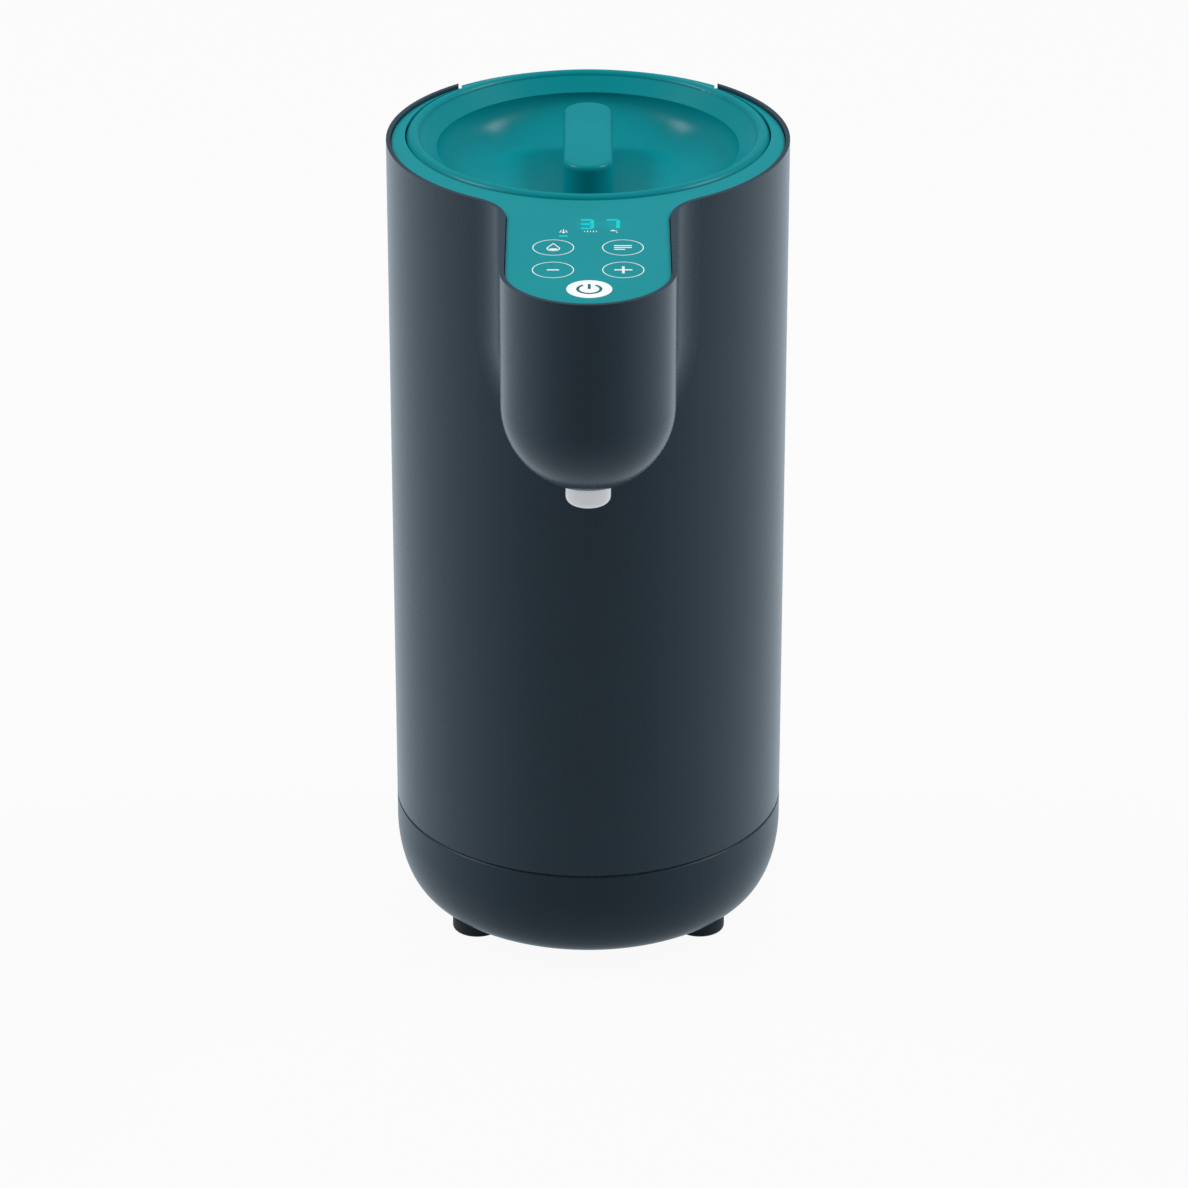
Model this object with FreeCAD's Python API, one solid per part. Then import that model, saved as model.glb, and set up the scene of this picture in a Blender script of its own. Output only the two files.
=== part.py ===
import FreeCAD
import Part
import math
import os

# Baby formula maker: a drum-shaped appliance with a round spout housing in
# front, a lift-out water tank under a teal lid, and a touch panel on its deck.
# Origin: on the table, on the axis of the drum. +X right, -Y front, +Z up.
# All sizes are in millimetres.

# Driving dimensions

# Housing
RIM_Z = 328.0              # top of the shell's lip above the table
BODY_R = 78.0              # outside radius of the drum
WALL = 2.6                 # shell and base wall
LIP = 1.7                  # thin lip of the shell around the deck
LOBE_Y = -136.5            # centre of the spout housing
LOBE_R = 32.3              # outside radius of the spout housing
NECK_R = 21.5              # outside fillet between spout housing and drum
DOME_DROP = 52.4           # centre of the spout housing's dome below the rim
SEAM_Z = 45.0              # parting line between shell and base
SEAM_BEVEL = 0.6           # bevel on both sides of the parting line
BASE_Z = 5.0               # underside of the base above the table
BASE_CORNER_R = 14.0       # how far the base's rounded edge reaches inwards
BASE_CORNER_H = 30.0       # how far it reaches upwards
SPIGOT_H = 8.0             # collar of the base inside the shell
SPIGOT_WALL = 2.2
SEAT_GAP = 0.3             # between pieces that only locate each other

# Deck and lid
DECK_DROP = 1.2            # deck surface below the rim
DECK_T = 2.4
DECK_GAP = 0.4             # dark line between deck and lip
DECK_SKIRT_T = 2.0
DECK_SKIRT_H = 18.0
LID_Y = 6.9                # the lid and tank stand a little behind the drum's axis
REAR_LIP = 0.7             # lid's round edge inside the drum's surface at the rear
LID_GAP = 0.5              # between lid and deck
LID_WALL = 2.2
LID_SKIRT_H = 10.0
BEAD_R = 2.9               # rounded bead on the lid's edge
RING_W = 11.7              # sloping ring between the lid's edge and the bowl's crease
CREASE_DROP = 6.3
BOWL_DROP = 21.0           # floor of the lid's bowl below the rim
BOWL_FLOOR = 68.0          # width of the bowl's square floor
BOWL_CORNER_R = 11.0
BOWL_STATIONS = (0.0, 0.3, 0.55, 0.78, 0.93, 1.0)   # sections down the bowl's wall
BOWL_EASE = 0.85           # how roundly the wall runs into the floor
GRIP_L = 72.0              # grip bar that stands in the bowl
GRIP_W = 19.2
GRIP_DROP = 1.4
GRIP_EDGE_R = 2.2
NOTCH_MARGIN = 0.7         # rear cut-out beyond the deck ring's tips
NOTCH_GAP = 1.2
NOTCH_H = 16.0
PLUG_T = 2.0               # ring under the lid that enters the tank
PLUG_H = 9.0
PLUG_GAP = 0.9             # plug ring to the tank's wall, bridged by the seal
SEAL_H = 4.0
SEAL_FIT = 0.05
PLATE_T = 2.0              # inner plate under the lid
PLATE_MARGIN = 3.0
PLATE_KEY_H = 3.0
SEAL_RISE = 1.0

# Tank, valve and float
TANK_INSET = 2.9           # tank's wall inside the lid's edge
TANK_WALL = 2.2
TANK_FLOOR_Z = 190.0       # underside of the tank's floor
TANK_FLOOR_T = 2.5
TANK_TOP_DROP = 6.0        # tank's edge below the rim
NECK_OUT_R = 14.0          # valve neck under the tank
NECK_BORE_R = 11.0
NECK_H = 12.0
SEAT_T = 3.0
SEAT_HOLE_R = 4.5
VALVE_LIFT = 2.0           # how far the opener pin holds the valve off its seat
POPPET_R = 7.0
POPPET_T = 2.4
STEM_R = 1.5
STEM_LOW_L = 4.2
STEM_HIGH_L = 13.0
FACE_SEAL_T = 1.2
SLIDE_FIT = 0.05           # running fit, radial
SPRING_R = 4.2
SPRING_WIRE_R = 0.5
SPRING_TURNS = 5
CAGE_R = 9.5
CAGE_H = 9.0
CAGE_WALL = 1.4
CAGE_FLANGE_R = 14.5
CAGE_FLANGE_T = 1.6
CAGE_SLOT_W = 7.0
FILTER_R = 18.0
FILTER_H = 15.0
FILTER_T = 1.2
FILTER_SLOTS = 18
FILTER_SLOT_W = 2.0
FILTER_BAND = 2.5
FLOAT_INSET = 25.3         # float's axis inside the tank's wall
FLOAT_TOP_GAP = 6.3        # float rod's top to the lid
FLOAT_R = 9.5
FLOAT_H = 14.0
FLOAT_ROD_R = 3.0
FLOAT_FOOT_R = 6.5
FLOAT_FOOT_H = 1.5
FLOAT_CAP_R = 5.0
FLOAT_CAP_H = 2.5
MAGNET_OUT_R = 7.0
MAGNET_IN_R = 5.0
MAGNET_H = 4.0
MAGNET_RISE = 1.5

# Cradle that carries the tank
CRADLE_CLEAR = 0.9         # cradle to the shell's wall
CRADLE_T = 3.0
CRADLE_WALL = 2.0
CRADLE_WALL_H = 14.0
TANK_CLEAR = 0.8           # between tank and cradle wall
SOCKET_CLEAR = 1.5         # between the tank's neck and its socket
SOCKET_WALL = 3.0
GASKET_T = 2.0
OPENER_R = 2.0
OUTLET_R = 2.4             # every hose tail
OUTLET_BORE_R = 1.6
OUTLET_L = 12.0
LEG_R = 5.0
LEG_X = 22.0
LEG_INSET = 21.4           # legs' axes inside the shell's wall, front and rear
LEG_BOSS_R = 7.0
LEG_BOSS_TOP = 20.0
SERVICE_W = 34.0           # gap in the cradle's front edge for hose and cable
SERVICE_MARGIN = 0.6       # that gap to the cradle's wall
SENSOR_SIZE = (18.0, 14.0, 3.0)

# Spout
NOZZLE_R = 8.4
NOZZLE_TIP_DROP = 7.3      # nozzle tip below the dome
NOZZLE_BORE_R = 2.6
NOZZLE_TIP_R = 2.5
NOZZLE_L = 26.0
SOCKET_L = 12.0            # how far the nozzle slides over the spigot
SPIGOT_R = 5.0
ELBOW_BORE_R = 2.2
ELBOW_FLANGE_R = 12.0
ELBOW_FLANGE_T = 3.0
ELBOW_GAP = 4.0            # nozzle's top to the elbow's flange
ELBOW_TURN_RISE = 16.0     # flange to the axis of the elbow's tail
ELBOW_TAIL_L = 17.0
GUIDE_WALL = 2.4           # tube inside the dome that guides the nozzle

# Pump
PUMP_X = 34.0
PUMP_HEAD_R = 17.0
PUMP_HEAD_H = 18.0
PUMP_HEAD_Z = 32.0
PUMP_CHAMBER_R = 13.0
PUMP_CHAMBER_H = 8.0
PUMP_FLOOR_T = 4.0
MOTOR_R = 13.5
MOTOR_H = 36.0
SHAFT_R = 1.6
SHAFT_L = 26.0
ROTOR_R = 12.2
ROTOR_H = 6.0
ROTOR_HUB_R = 3.6
ROTOR_VANES = 6
VANE_T = 1.4
DISC_T = 1.4
MOTOR_EDGE_R = 1.5
BEARING_R = 4.0
BEARING_H = 2.0
TERMINAL_SIZE = (0.8, 3.0, 5.0)
TERMINAL_X = 8.0
PORT_Z = 41.0              # height of the low hose run
PORT_L = 8.0
MOUNT_R = 4.0
MOUNT_RING_R = 12.0
PILLAR_MARGIN = 1.0
PEDESTAL_R = 17.0
PEDESTAL_TOP = 24.0

# Heater
HEATER_X = -30.0
HEATER_Y = 11.0
HEATER_R = 15.0
HEATER_BORE_R = 9.0
HEATER_CAP_T = 4.0
HEATER_Z = 32.0
HEATER_TOP = 145.0
BRACKET_T = 2.0
BRACKET_W = 24.0
CLAMP_H = 12.0
CLAMP_LOW = 24.0           # lower clamp above the heater's foot
CLAMP_HIGH = 32.0          # upper clamp below the heater's top
BRACKET_DROP = 20.0        # bracket's top below the heater's top
BRACKET_REACH = 10.0       # bracket's foot past the heater's axis
CUTOUT_R = 6.0
CUTOUT_T = 4.0
CUTOUT_ZS = (78.0, 100.0)
BLADE_T = 0.8
BLADE_W = 3.2
BLADE_L = 6.0
BLADE_X = 3.5
PAD_W = 14.0
PAD_OUT = 1.5
PROBE_R = 2.0
PROBE_L = 14.0
PROBE_AT = (7.5, -4.0)      # from the heater's axis

# Hoses
HOSE_R = 4.0
HOSE_BORE_R = 2.5
HOSE_BEND = 9.0
HOSE_GRIP = 6.0            # how far a hose is pushed over its tail
SPOUT_HOSE_TURN = 45.0     # from the heater's axis forwards to the hose's low turn
SPOUT_HOSE_LOW_Z = 163.0

# Boards
PCB_T = 1.6
BOARD_W = 72.0
BOARD_Z = 52.0
BOARD_H = 86.0
BOARD_GAP = 0.4            # board to the front legs
BOXES = (                  # parts on the board: x, height on the board, width, height, depth
    (-33.0, 20.0, 20.0, 24.0, 18.0),
    (16.0, 20.0, 16.0, 20.0, 14.0),
    (-12.0, 62.0, 16.0, 14.0, 12.0),
    (6.0, 20.0, 11.0, 17.0, 6.0),
    (-8.0, 4.0, 10.0, 18.0, 10.0),
)
CANS = ((-28.0, 52.0, 5.0, 20.0), (-2.0, 52.0, 6.0, 22.0), (30.0, 52.0, 4.0, 14.0))
WIRE_R = 1.0
WIRE_XS = (8.0, 11.5, 15.0)
WIRE_TAIL_XS = (0.0, 7.5, 15.0)
WIRE_STEP = 4.0
WIRE_BEND = 3.0
CABLE_R = 1.5
CABLE_X = 14.0
CABLE_BEND = 5.0
CABLE_RISES = (12.0, 26.0)
CABLE_DROPS = (26.0, 16.0)
TAB_W = 9.0
TAB_H = 8.0
TAB_ZS = (60.0, 122.0)
TOUCH_EDGE_GAP = 1.5        # touch board to the deck's bosses
TOUCH_REAR = 59.5          # rear edge of the touch board behind the spout's axis
TOUCH_DEPTH = 6.2          # deck's underside to the touch board
POST_R = 2.4
POST_OFFSETS = ((0.0, 14.5), (-17.0, 54.5), (17.0, 54.5))   # from the spout's axis
KEY_OFFSETS = ((-12.8, 25.5), (12.8, 25.5), (-12.8, 3.5), (12.8, 3.5), (0.0, -14.5))
KEY_PAD_R = 5.0
DISPLAY_SIZE = (31.0, 18.5)
DISPLAY_OFFSET = (1.5, 42.75)
DIGIT_SIZE = (8.0, 11.0, 1.0)
DIGIT_OFFSETS = ((-1.5, 44.5), (8.5, 44.5))
RIBBON_PLUG = (12.0, 6.0, 4.0)
RIBBON_OFFSET = (14.0, 35.5)
DECK_BOSS_R = 3.0
DECK_BOSS_GAP = 0.7         # boss to the spout housing's wall
DECK_BOSS_OFFSETS = (42.5, -3.5)   # behind and in front of the spout's axis
DECK_BOSS_H = 8.5
LUG_T = 3.0
LUG_W = 9.0

# Power inlet
INLET_Z = 76.0
INLET_W = 28.0
INLET_H = 20.5
INLET_DEPTH = 22.0
INLET_RECESS = 2.0         # face of the inlet inside the drum's outer surface
INLET_FLANGE = 5.0
INLET_CAVITY = (22.0, 14.5, 15.0)
PIN_SIZE = (2.0, 4.0, 12.0)
PIN_X = 7.0
PIN_ZS = (-1.5, 2.5)       # outer pins and middle pin, from the socket's middle
FLANGE_T = 2.5

# Feet and vents
FOOT_INSET = 5.7            # feet's axes inside the base's flat
FOOT_TURN = 39.4           # their angle from the X axis, in degrees
FOOT_R = 10.0
FOOT_RECESS = 1.0
FOOT_EDGE_R = 1.2
VENT_COUNT = 7
VENT_W = 2.6
VENT_L = 34.0
VENT_PITCH = 6.5
VENT_AT = (-10.0, -12.0)

# Screws
SCREW_R = 1.5
SCREW_HEAD_R = 2.8
SCREW_HEAD_H = 2.0
SCREW_PLAY = 0.2
SCREW_SLOT_W = 0.8
SCREW_BITE = 6.0           # how deep the deck screws sit in their bosses
SMALL_SCREW_R = 1.0
SMALL_HEAD_R = 2.2
SMALL_HEAD_H = 1.4
SMALL_BITE = 4.0
BOARD_SCREW_L = 4.0         # how deep the board screws sit in the cradle's legs
LEG_SCREW_R = 2.0
LEG_SCREW_HEAD_R = 3.8
LEG_SCREW_HEAD_H = 2.6
LEG_BITE = 12.0
LEG_SEAT = 4.0             # heads of the leg screws above the base's underside

# Derived dimensions

DOME_Z = RIM_Z - DOME_DROP
DOME_POLE_Z = DOME_Z - LOBE_R
DECK_TOP = RIM_Z - DECK_DROP
DECK_UNDER = DECK_TOP - DECK_T
INNER_R = BODY_R - WALL
LID_R = BODY_R - LID_Y - REAR_LIP
CREASE_R = LID_R - RING_W
DECK_OPEN_R = LID_R + LID_GAP
DECK_OUT_R = BODY_R - LIP - DECK_GAP
TIP_Y = (DECK_OUT_R ** 2 - DECK_OPEN_R ** 2 + LID_Y ** 2) / (2.0 * LID_Y)
NOTCH_X = math.sqrt(DECK_OUT_R ** 2 - TIP_Y ** 2) + NOTCH_MARGIN
BOWL_Z = RIM_Z - BOWL_DROP
CREASE_Z = RIM_Z - CREASE_DROP
LID_UNDER = BOWL_Z - LID_WALL
TANK_TOP = RIM_Z - TANK_TOP_DROP
TANK_R = LID_R - TANK_INSET
TANK_IN_R = TANK_R - TANK_WALL
TANK_IN_Z = TANK_FLOOR_Z + TANK_FLOOR_T
PLUG_OUT_R = TANK_IN_R - PLUG_GAP
FLOAT_X = -(TANK_IN_R - FLOAT_INSET)
FLOAT_ROD_L = LID_UNDER - TANK_IN_Z - FLOAT_TOP_GAP
NECK_Z = TANK_FLOOR_Z - NECK_H
SEAT_TOP = NECK_Z + SEAT_T
POPPET_SEAL_Z = SEAT_TOP + VALVE_LIFT
POPPET_Z = POPPET_SEAL_Z + FACE_SEAL_T
POPPET_TOP = POPPET_Z + POPPET_T
STEM_FOOT_Z = POPPET_Z - STEM_LOW_L
STEM_TOP = POPPET_TOP + STEM_HIGH_L
CAGE_TOP = TANK_IN_Z + CAGE_H
CAGE_UNDER = CAGE_TOP - CAGE_WALL
SOCKET_R = NECK_OUT_R + SOCKET_CLEAR
SOCKET_FLOOR_Z = NECK_Z - GASKET_T
SOCKET_UNDER = SOCKET_FLOOR_Z - SOCKET_WALL
CRADLE_UNDER = TANK_FLOOR_Z - CRADLE_T
CRADLE_R = INNER_R - CRADLE_CLEAR
CRADLE_WALL_R = TANK_R + TANK_CLEAR + CRADLE_WALL
CRADLE_FRONT = CRADLE_WALL_R - LID_Y
SERVICE_DEPTH = CRADLE_R - CRADLE_FRONT - SERVICE_MARGIN
SPOUT_HOSE_Y = -(INNER_R + CRADLE_FRONT) / 2.0
NOZZLE_Z = DOME_POLE_Z - NOZZLE_TIP_DROP
NOZZLE_TOP = NOZZLE_Z + NOZZLE_L
SPIGOT_FOOT = NOZZLE_TOP - SOCKET_L + SEAT_GAP
ELBOW_FLANGE_Z = NOZZLE_TOP + ELBOW_GAP
ELBOW_AXIS_Z = ELBOW_FLANGE_Z + ELBOW_TURN_RISE
PUMP_CHAMBER_Z = PUMP_HEAD_Z + PUMP_FLOOR_T
PUMP_HEAD_TOP = PUMP_HEAD_Z + PUMP_HEAD_H
ROTOR_Z = PUMP_CHAMBER_Z + (PUMP_CHAMBER_H - ROTOR_H) / 2.0
BASE_FLOOR = BASE_Z + WALL
LEG_Y = INNER_R - LEG_INSET
LEG_SPOTS = tuple((sx * LEG_X, sy * LEG_Y) for sx in (-1, 1) for sy in (-1, 1))
TOUCH_TOP = DECK_UNDER - TOUCH_DEPTH
TOUCH_UNDER = TOUCH_TOP - PCB_T
BOSS_FOOT = DECK_UNDER - DECK_BOSS_H
DECK_BOSS_X = LOBE_R - WALL - DECK_BOSS_R - DECK_BOSS_GAP
DECK_BOSS_SPOTS = tuple((side * DECK_BOSS_X, LOBE_Y + off)
                        for side in (-1, 1) for off in DECK_BOSS_OFFSETS)
TOUCH_W = 2.0 * (DECK_BOSS_X - DECK_BOSS_R - TOUCH_EDGE_GAP)
POSTS = tuple((x, LOBE_Y + off) for x, off in POST_OFFSETS)
INLET_FACE_Y = BODY_R - INLET_RECESS - INLET_W ** 2 / (8.0 * BODY_R)
BOARD_Y = -LEG_Y + LEG_R + BOARD_GAP      # front face of the power board
FLAT_R = BODY_R - BASE_CORNER_R


# Shape helpers

def vec(x, y, z):
    return FreeCAD.Vector(x, y, z)


def cylinder(radius, bottom, top, x=0.0, y=0.0):
    return Part.makeCylinder(radius, top - bottom, vec(x, y, bottom))


def tube(outer, inner, bottom, top, x=0.0, y=0.0):
    return cylinder(outer, bottom, top, x, y).cut(cylinder(inner, bottom, top, x, y))


def block(x0, x1, y0, y1, z0, z1):
    return Part.makeBox(x1 - x0, y1 - y0, z1 - z0, vec(x0, y0, z0))


def rod(radius, start, end):
    start = vec(*start)
    direction = vec(*end) - start
    return Part.makeCylinder(radius, direction.Length, start, direction)


def turned(points, x=0.0, y=0.0):
    """Revolve a closed (radius, height) outline about the vertical at x, y."""
    wire = Part.makePolygon([vec(x + r, y, z) for r, z in points + points[:1]])
    return Part.Face(wire).revolve(vec(x, y, 0), vec(0, 0, 1), 360)


def capsule(width, length, bottom, top, y):
    """Upright prism with round ends, long along Y."""
    radius = width / 2.0
    reach = length / 2.0 - radius
    solid = block(-radius, radius, y - reach, y + reach, bottom, top)
    ends = [cylinder(radius, bottom, top, 0.0, y + side * reach) for side in (-1, 1)]
    return solid.fuse(ends).removeSplitter()


def bent_path(points, bend):
    """Wire through the points with each corner rounded to the bend radius."""
    corners = [vec(*p) for p in points]
    edges = []
    start = corners[0]
    for before, corner, after in zip(corners, corners[1:], corners[2:]):
        to_before = (before - corner).normalize()
        to_after = (after - corner).normalize()
        half = to_before.getAngle(to_after) / 2.0
        setback = bend / math.tan(half)
        enter = corner + to_before * setback
        leave = corner + to_after * setback
        middle_way = (to_before + to_after).normalize()
        crown = corner + middle_way * (bend / math.sin(half) - bend)
        edges.append(Part.makeLine(start, enter))
        edges.append(Part.Arc(enter, crown, leave).toShape())
        start = leave
    edges.append(Part.makeLine(start, corners[-1]))
    return Part.Wire(edges)


def swept(points, radius, bend):
    path = bent_path(points, bend)
    direction = vec(*points[1]) - vec(*points[0])
    ring = Part.Wire(Part.makeCircle(radius, vec(*points[0]), direction))
    return path.makePipeShell([ring], True, False)


def hose(points):
    return swept(points, HOSE_R, HOSE_BEND).cut(swept(points, HOSE_BORE_R, HOSE_BEND))


def screw_up(x, y, seat, length, radius=SCREW_R, head_r=SCREW_HEAD_R, head_h=SCREW_HEAD_H):
    """Screw driven upwards: its head lies under the seat height."""
    head = cylinder(head_r, seat - head_h, seat, x, y)
    slot = SCREW_SLOT_W / 2
    drive = block(x - head_r / 2, x + head_r / 2, y - slot, y + slot, seat - head_h, seat - head_h / 2)
    return head.cut(drive).fuse(cylinder(radius, seat, seat + length, x, y))


def save(name, shape):
    shape.exportStep(os.path.join("parts", name + ".step"))


# Housing form

def plan_prism(inset, bottom, top):
    """Plan of the housing, moved inwards by the inset, as an upright prism."""
    drum_r = BODY_R - inset
    lobe_r = LOBE_R - inset
    neck_r = NECK_R + inset
    neck_x = lobe_r + neck_r
    neck_y = -math.sqrt((drum_r + neck_r) ** 2 - neck_x ** 2)
    share = drum_r / (drum_r + neck_r)
    on_drum = (neck_x * share, neck_y * share)
    on_side = (lobe_r, neck_y)
    turn = math.atan2(on_drum[1] - neck_y, on_drum[0] - neck_x)
    middle = (turn + math.pi) / 2.0
    mid_neck = (neck_x + neck_r * math.cos(middle), neck_y + neck_r * math.sin(middle))

    def spot(x, y, side=1):
        return vec(side * x, y, bottom)

    edges = [
        Part.Arc(spot(*on_drum), spot(0, drum_r), spot(*on_drum, -1)).toShape(),
        Part.Arc(spot(*on_drum, -1), spot(*mid_neck, -1), spot(*on_side, -1)).toShape(),
        Part.makeLine(spot(*on_side, -1), spot(lobe_r, LOBE_Y, -1)),
        Part.Arc(spot(lobe_r, LOBE_Y, -1), spot(0, LOBE_Y - lobe_r), spot(lobe_r, LOBE_Y)).toShape(),
        Part.makeLine(spot(lobe_r, LOBE_Y), spot(*on_side)),
        Part.Arc(spot(*on_side), spot(*mid_neck), spot(*on_drum)).toShape(),
    ]
    return Part.Face(Part.Wire(edges)).extrude(vec(0, 0, top - bottom))


def housing_form(inset, bottom, top):
    """Drum with the domed spout housing grown out of it through a round neck."""
    drum_r = BODY_R - inset
    lobe_r = LOBE_R - inset
    drum = cylinder(drum_r, bottom, top)
    lobe = [
        cylinder(lobe_r, DOME_Z, top, 0.0, LOBE_Y),
        Part.makeSphere(lobe_r, vec(0, LOBE_Y, DOME_Z)),
        rod(lobe_r, (0, LOBE_Y, DOME_Z), (0, 0, DOME_Z)),
        block(-lobe_r, lobe_r, LOBE_Y, 0, DOME_Z, top),
    ]
    form = drum.fuse(lobe).removeSplitter()
    joins = []
    for edge in form.Edges:
        if edge.Degenerated:
            continue
        spots = edge.discretize(5)
        on_drum = all(abs(math.hypot(p.x, p.y) - drum_r) < 1e-3 for p in spots)
        in_front = all(p.y < 0 and abs(p.x) < lobe_r + 1e-3 for p in spots)
        level = abs(spots[0].z - spots[2].z) < 1e-6 and spots[0].z in (bottom, top)
        if on_drum and in_front and not level:
            joins.append(edge)
    return form.makeFillet(NECK_R + inset, joins)


# Housing pieces

def make_outer_shell():
    shell = housing_form(0.0, SEAM_Z, RIM_Z)
    bevel_tool = turned([(BODY_R - SEAM_BEVEL, SEAM_Z), (BODY_R + 1, SEAM_Z),
                         (BODY_R + 1, SEAM_Z + SEAM_BEVEL + 1)])
    shell = shell.cut(housing_form(WALL, SEAM_Z, RIM_Z)).cut(bevel_tool)
    shell = shell.cut(plan_prism(LIP, DECK_UNDER, RIM_Z))
    shell = shell.cut(block(-NOTCH_X, NOTCH_X, 0, BODY_R + 1, RIM_Z - NOTCH_H, RIM_Z))
    guide = tube(NOZZLE_R + SEAT_GAP + GUIDE_WALL, NOZZLE_R + SEAT_GAP, DOME_POLE_Z,
                 ELBOW_FLANGE_Z, 0.0, LOBE_Y)
    guide = guide.common(housing_form(WALL / 2, SEAM_Z, RIM_Z))
    lugs = [deck_lug(x, y) for x, y in DECK_BOSS_SPOTS]
    shell = shell.fuse([guide] + lugs)
    shell = shell.cut(cylinder(NOZZLE_R + SEAT_GAP, DOME_POLE_Z - 1, ELBOW_FLANGE_Z, 0.0, LOBE_Y))
    window = block(-INLET_W / 2 - SEAT_GAP, INLET_W / 2 + SEAT_GAP, 0, BODY_R + 1,
                   INLET_Z - INLET_H / 2 - SEAT_GAP, INLET_Z + INLET_H / 2 + SEAT_GAP)
    return shell.cut(window)


def deck_lug(x, y):
    """Small shelf on the spout housing's wall that takes a deck screw."""
    side = math.copysign(1, x)
    inner = DECK_BOSS_X - DECK_BOSS_R - SEAT_GAP
    xs = sorted((side * inner, side * (LOBE_R - WALL / 2)))
    lug = block(xs[0], xs[1], y - LUG_W / 2, y + LUG_W / 2, BOSS_FOOT - LUG_T, BOSS_FOOT)
    lug = lug.common(plan_prism(WALL / 2, BOSS_FOOT - LUG_T, BOSS_FOOT))
    return lug.cut(cylinder(SCREW_R + SCREW_PLAY, BOSS_FOOT - LUG_T, BOSS_FOOT, x, y))


def base_cup(inset, top):
    """Solid of the base's outside form, moved inwards by the inset."""
    corner_top = BASE_Z + BASE_CORNER_H
    reach = BASE_CORNER_R - inset
    drop = BASE_CORNER_H - inset
    steps = [i * math.pi / 32 for i in range(17)]
    curve = [vec(FLAT_R + reach * math.sin(a), 0, corner_top - drop * math.cos(a)) for a in steps]
    edge = Part.BSplineCurve()
    edge.interpolate(curve)
    low, high = curve[0], curve[-1]
    corners = [high, vec(high.x, 0, top), vec(0, 0, top), vec(0, 0, low.z), low]
    lines = [Part.makeLine(a, b) for a, b in zip(corners, corners[1:])]
    face = Part.Face(Part.Wire([edge.toShape()] + lines))
    return face.revolve(vec(0, 0, 0), vec(0, 0, 1), 360)


def make_base_cap():
    collar_r = INNER_R - SEAT_GAP
    base = base_cup(0.0, SEAM_Z).cut(base_cup(WALL, SEAM_Z))
    base = base.cut(turned([(BODY_R - SEAM_BEVEL, SEAM_Z), (BODY_R + 1, SEAM_Z - SEAM_BEVEL - 1),
                            (BODY_R + 1, SEAM_Z)]))
    collar = tube(collar_r, collar_r - SPIGOT_WALL, SEAM_Z - SPIGOT_H, SEAM_Z + SPIGOT_H)
    ring = tube(INNER_R + WALL / 2, collar_r - SPIGOT_WALL, SEAM_Z - SPIGOT_H, SEAM_Z)
    bosses = [cylinder(LEG_BOSS_R, BASE_Z + WALL / 2, LEG_BOSS_TOP, x, y) for x, y in LEG_SPOTS]
    pedestal = tube(PEDESTAL_R, PEDESTAL_R - WALL, BASE_Z + WALL / 2, PEDESTAL_TOP, PUMP_X, LID_Y)
    pillars = [cylinder(MOUNT_R + PILLAR_MARGIN, BASE_Z + WALL / 2, PEDESTAL_TOP, x, y)
               for x, y in mount_spots()]
    base = base.fuse([collar, ring, pedestal] + bosses + pillars)
    for x, y in LEG_SPOTS:
        base = base.cut(cylinder(LEG_SCREW_R + SCREW_PLAY, BASE_Z - 1, LEG_BOSS_TOP, x, y))
        base = base.cut(cylinder(LEG_SCREW_HEAD_R + SEAT_GAP, BASE_Z - 1, BASE_Z + LEG_SEAT, x, y))
    for x, y in foot_spots():
        base = base.cut(cylinder(FOOT_R + SCREW_PLAY, BASE_Z - 1, BASE_Z + FOOT_RECESS, x, y))
    for i in range(VENT_COUNT):
        x = VENT_AT[0] + (i - (VENT_COUNT - 1) / 2.0) * VENT_PITCH
        base = base.cut(block(x - VENT_W / 2, x + VENT_W / 2, VENT_AT[1] - VENT_L / 2,
                              VENT_AT[1] + VENT_L / 2, BASE_Z - 1, BASE_FLOOR + 1))
    return base.removeSplitter()


def foot_spots():
    ring = FLAT_R - FOOT_INSET
    x = ring * math.cos(math.radians(FOOT_TURN))
    y = ring * math.sin(math.radians(FOOT_TURN))
    return [(sx * x, sy * y) for sx in (-1, 1) for sy in (-1, 1)]


def make_foot(x, y):
    foot = cylinder(FOOT_R, 0.0, BASE_Z + FOOT_RECESS, x, y)
    low_edge = [e for e in foot.Edges if e.BoundBox.ZMax < 0.01]
    return foot.makeFillet(FOOT_EDGE_R, low_edge)


# Deck

def make_control_deck():
    deck = plan_prism(LIP + DECK_GAP, DECK_UNDER, DECK_TOP)
    skirt = tube(DECK_OPEN_R + DECK_SKIRT_T, DECK_OPEN_R, DECK_UNDER - DECK_SKIRT_H, DECK_UNDER,
                 0.0, LID_Y)
    skirt = skirt.common(cylinder(INNER_R - SEAT_GAP, DECK_UNDER - DECK_SKIRT_H, DECK_UNDER))
    rear = block(-NOTCH_X - 2, NOTCH_X + 2, LID_Y, BODY_R + 1, DECK_UNDER - DECK_SKIRT_H, RIM_Z)
    bosses = [cylinder(DECK_BOSS_R, BOSS_FOOT, DECK_UNDER, x, y) for x, y in DECK_BOSS_SPOTS]
    posts = [cylinder(POST_R, TOUCH_TOP, DECK_UNDER, x, y) for x, y in POSTS]
    deck = deck.fuse([skirt.cut(rear)] + bosses + posts)
    deck = deck.cut(cylinder(DECK_OPEN_R, DECK_UNDER - DECK_SKIRT_H, RIM_Z, 0.0, LID_Y))
    for x, y in DECK_BOSS_SPOTS:
        deck = deck.cut(cylinder(SCREW_R, BOSS_FOOT, DECK_UNDER, x, y))
    for x, y in POSTS:
        deck = deck.cut(cylinder(SMALL_SCREW_R, TOUCH_TOP, DECK_UNDER, x, y))
    return deck


def make_deck_screws():
    return Part.makeCompound([screw_up(x, y, BOSS_FOOT - LUG_T, LUG_T + SCREW_BITE)
                              for x, y in DECK_BOSS_SPOTS])


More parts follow.
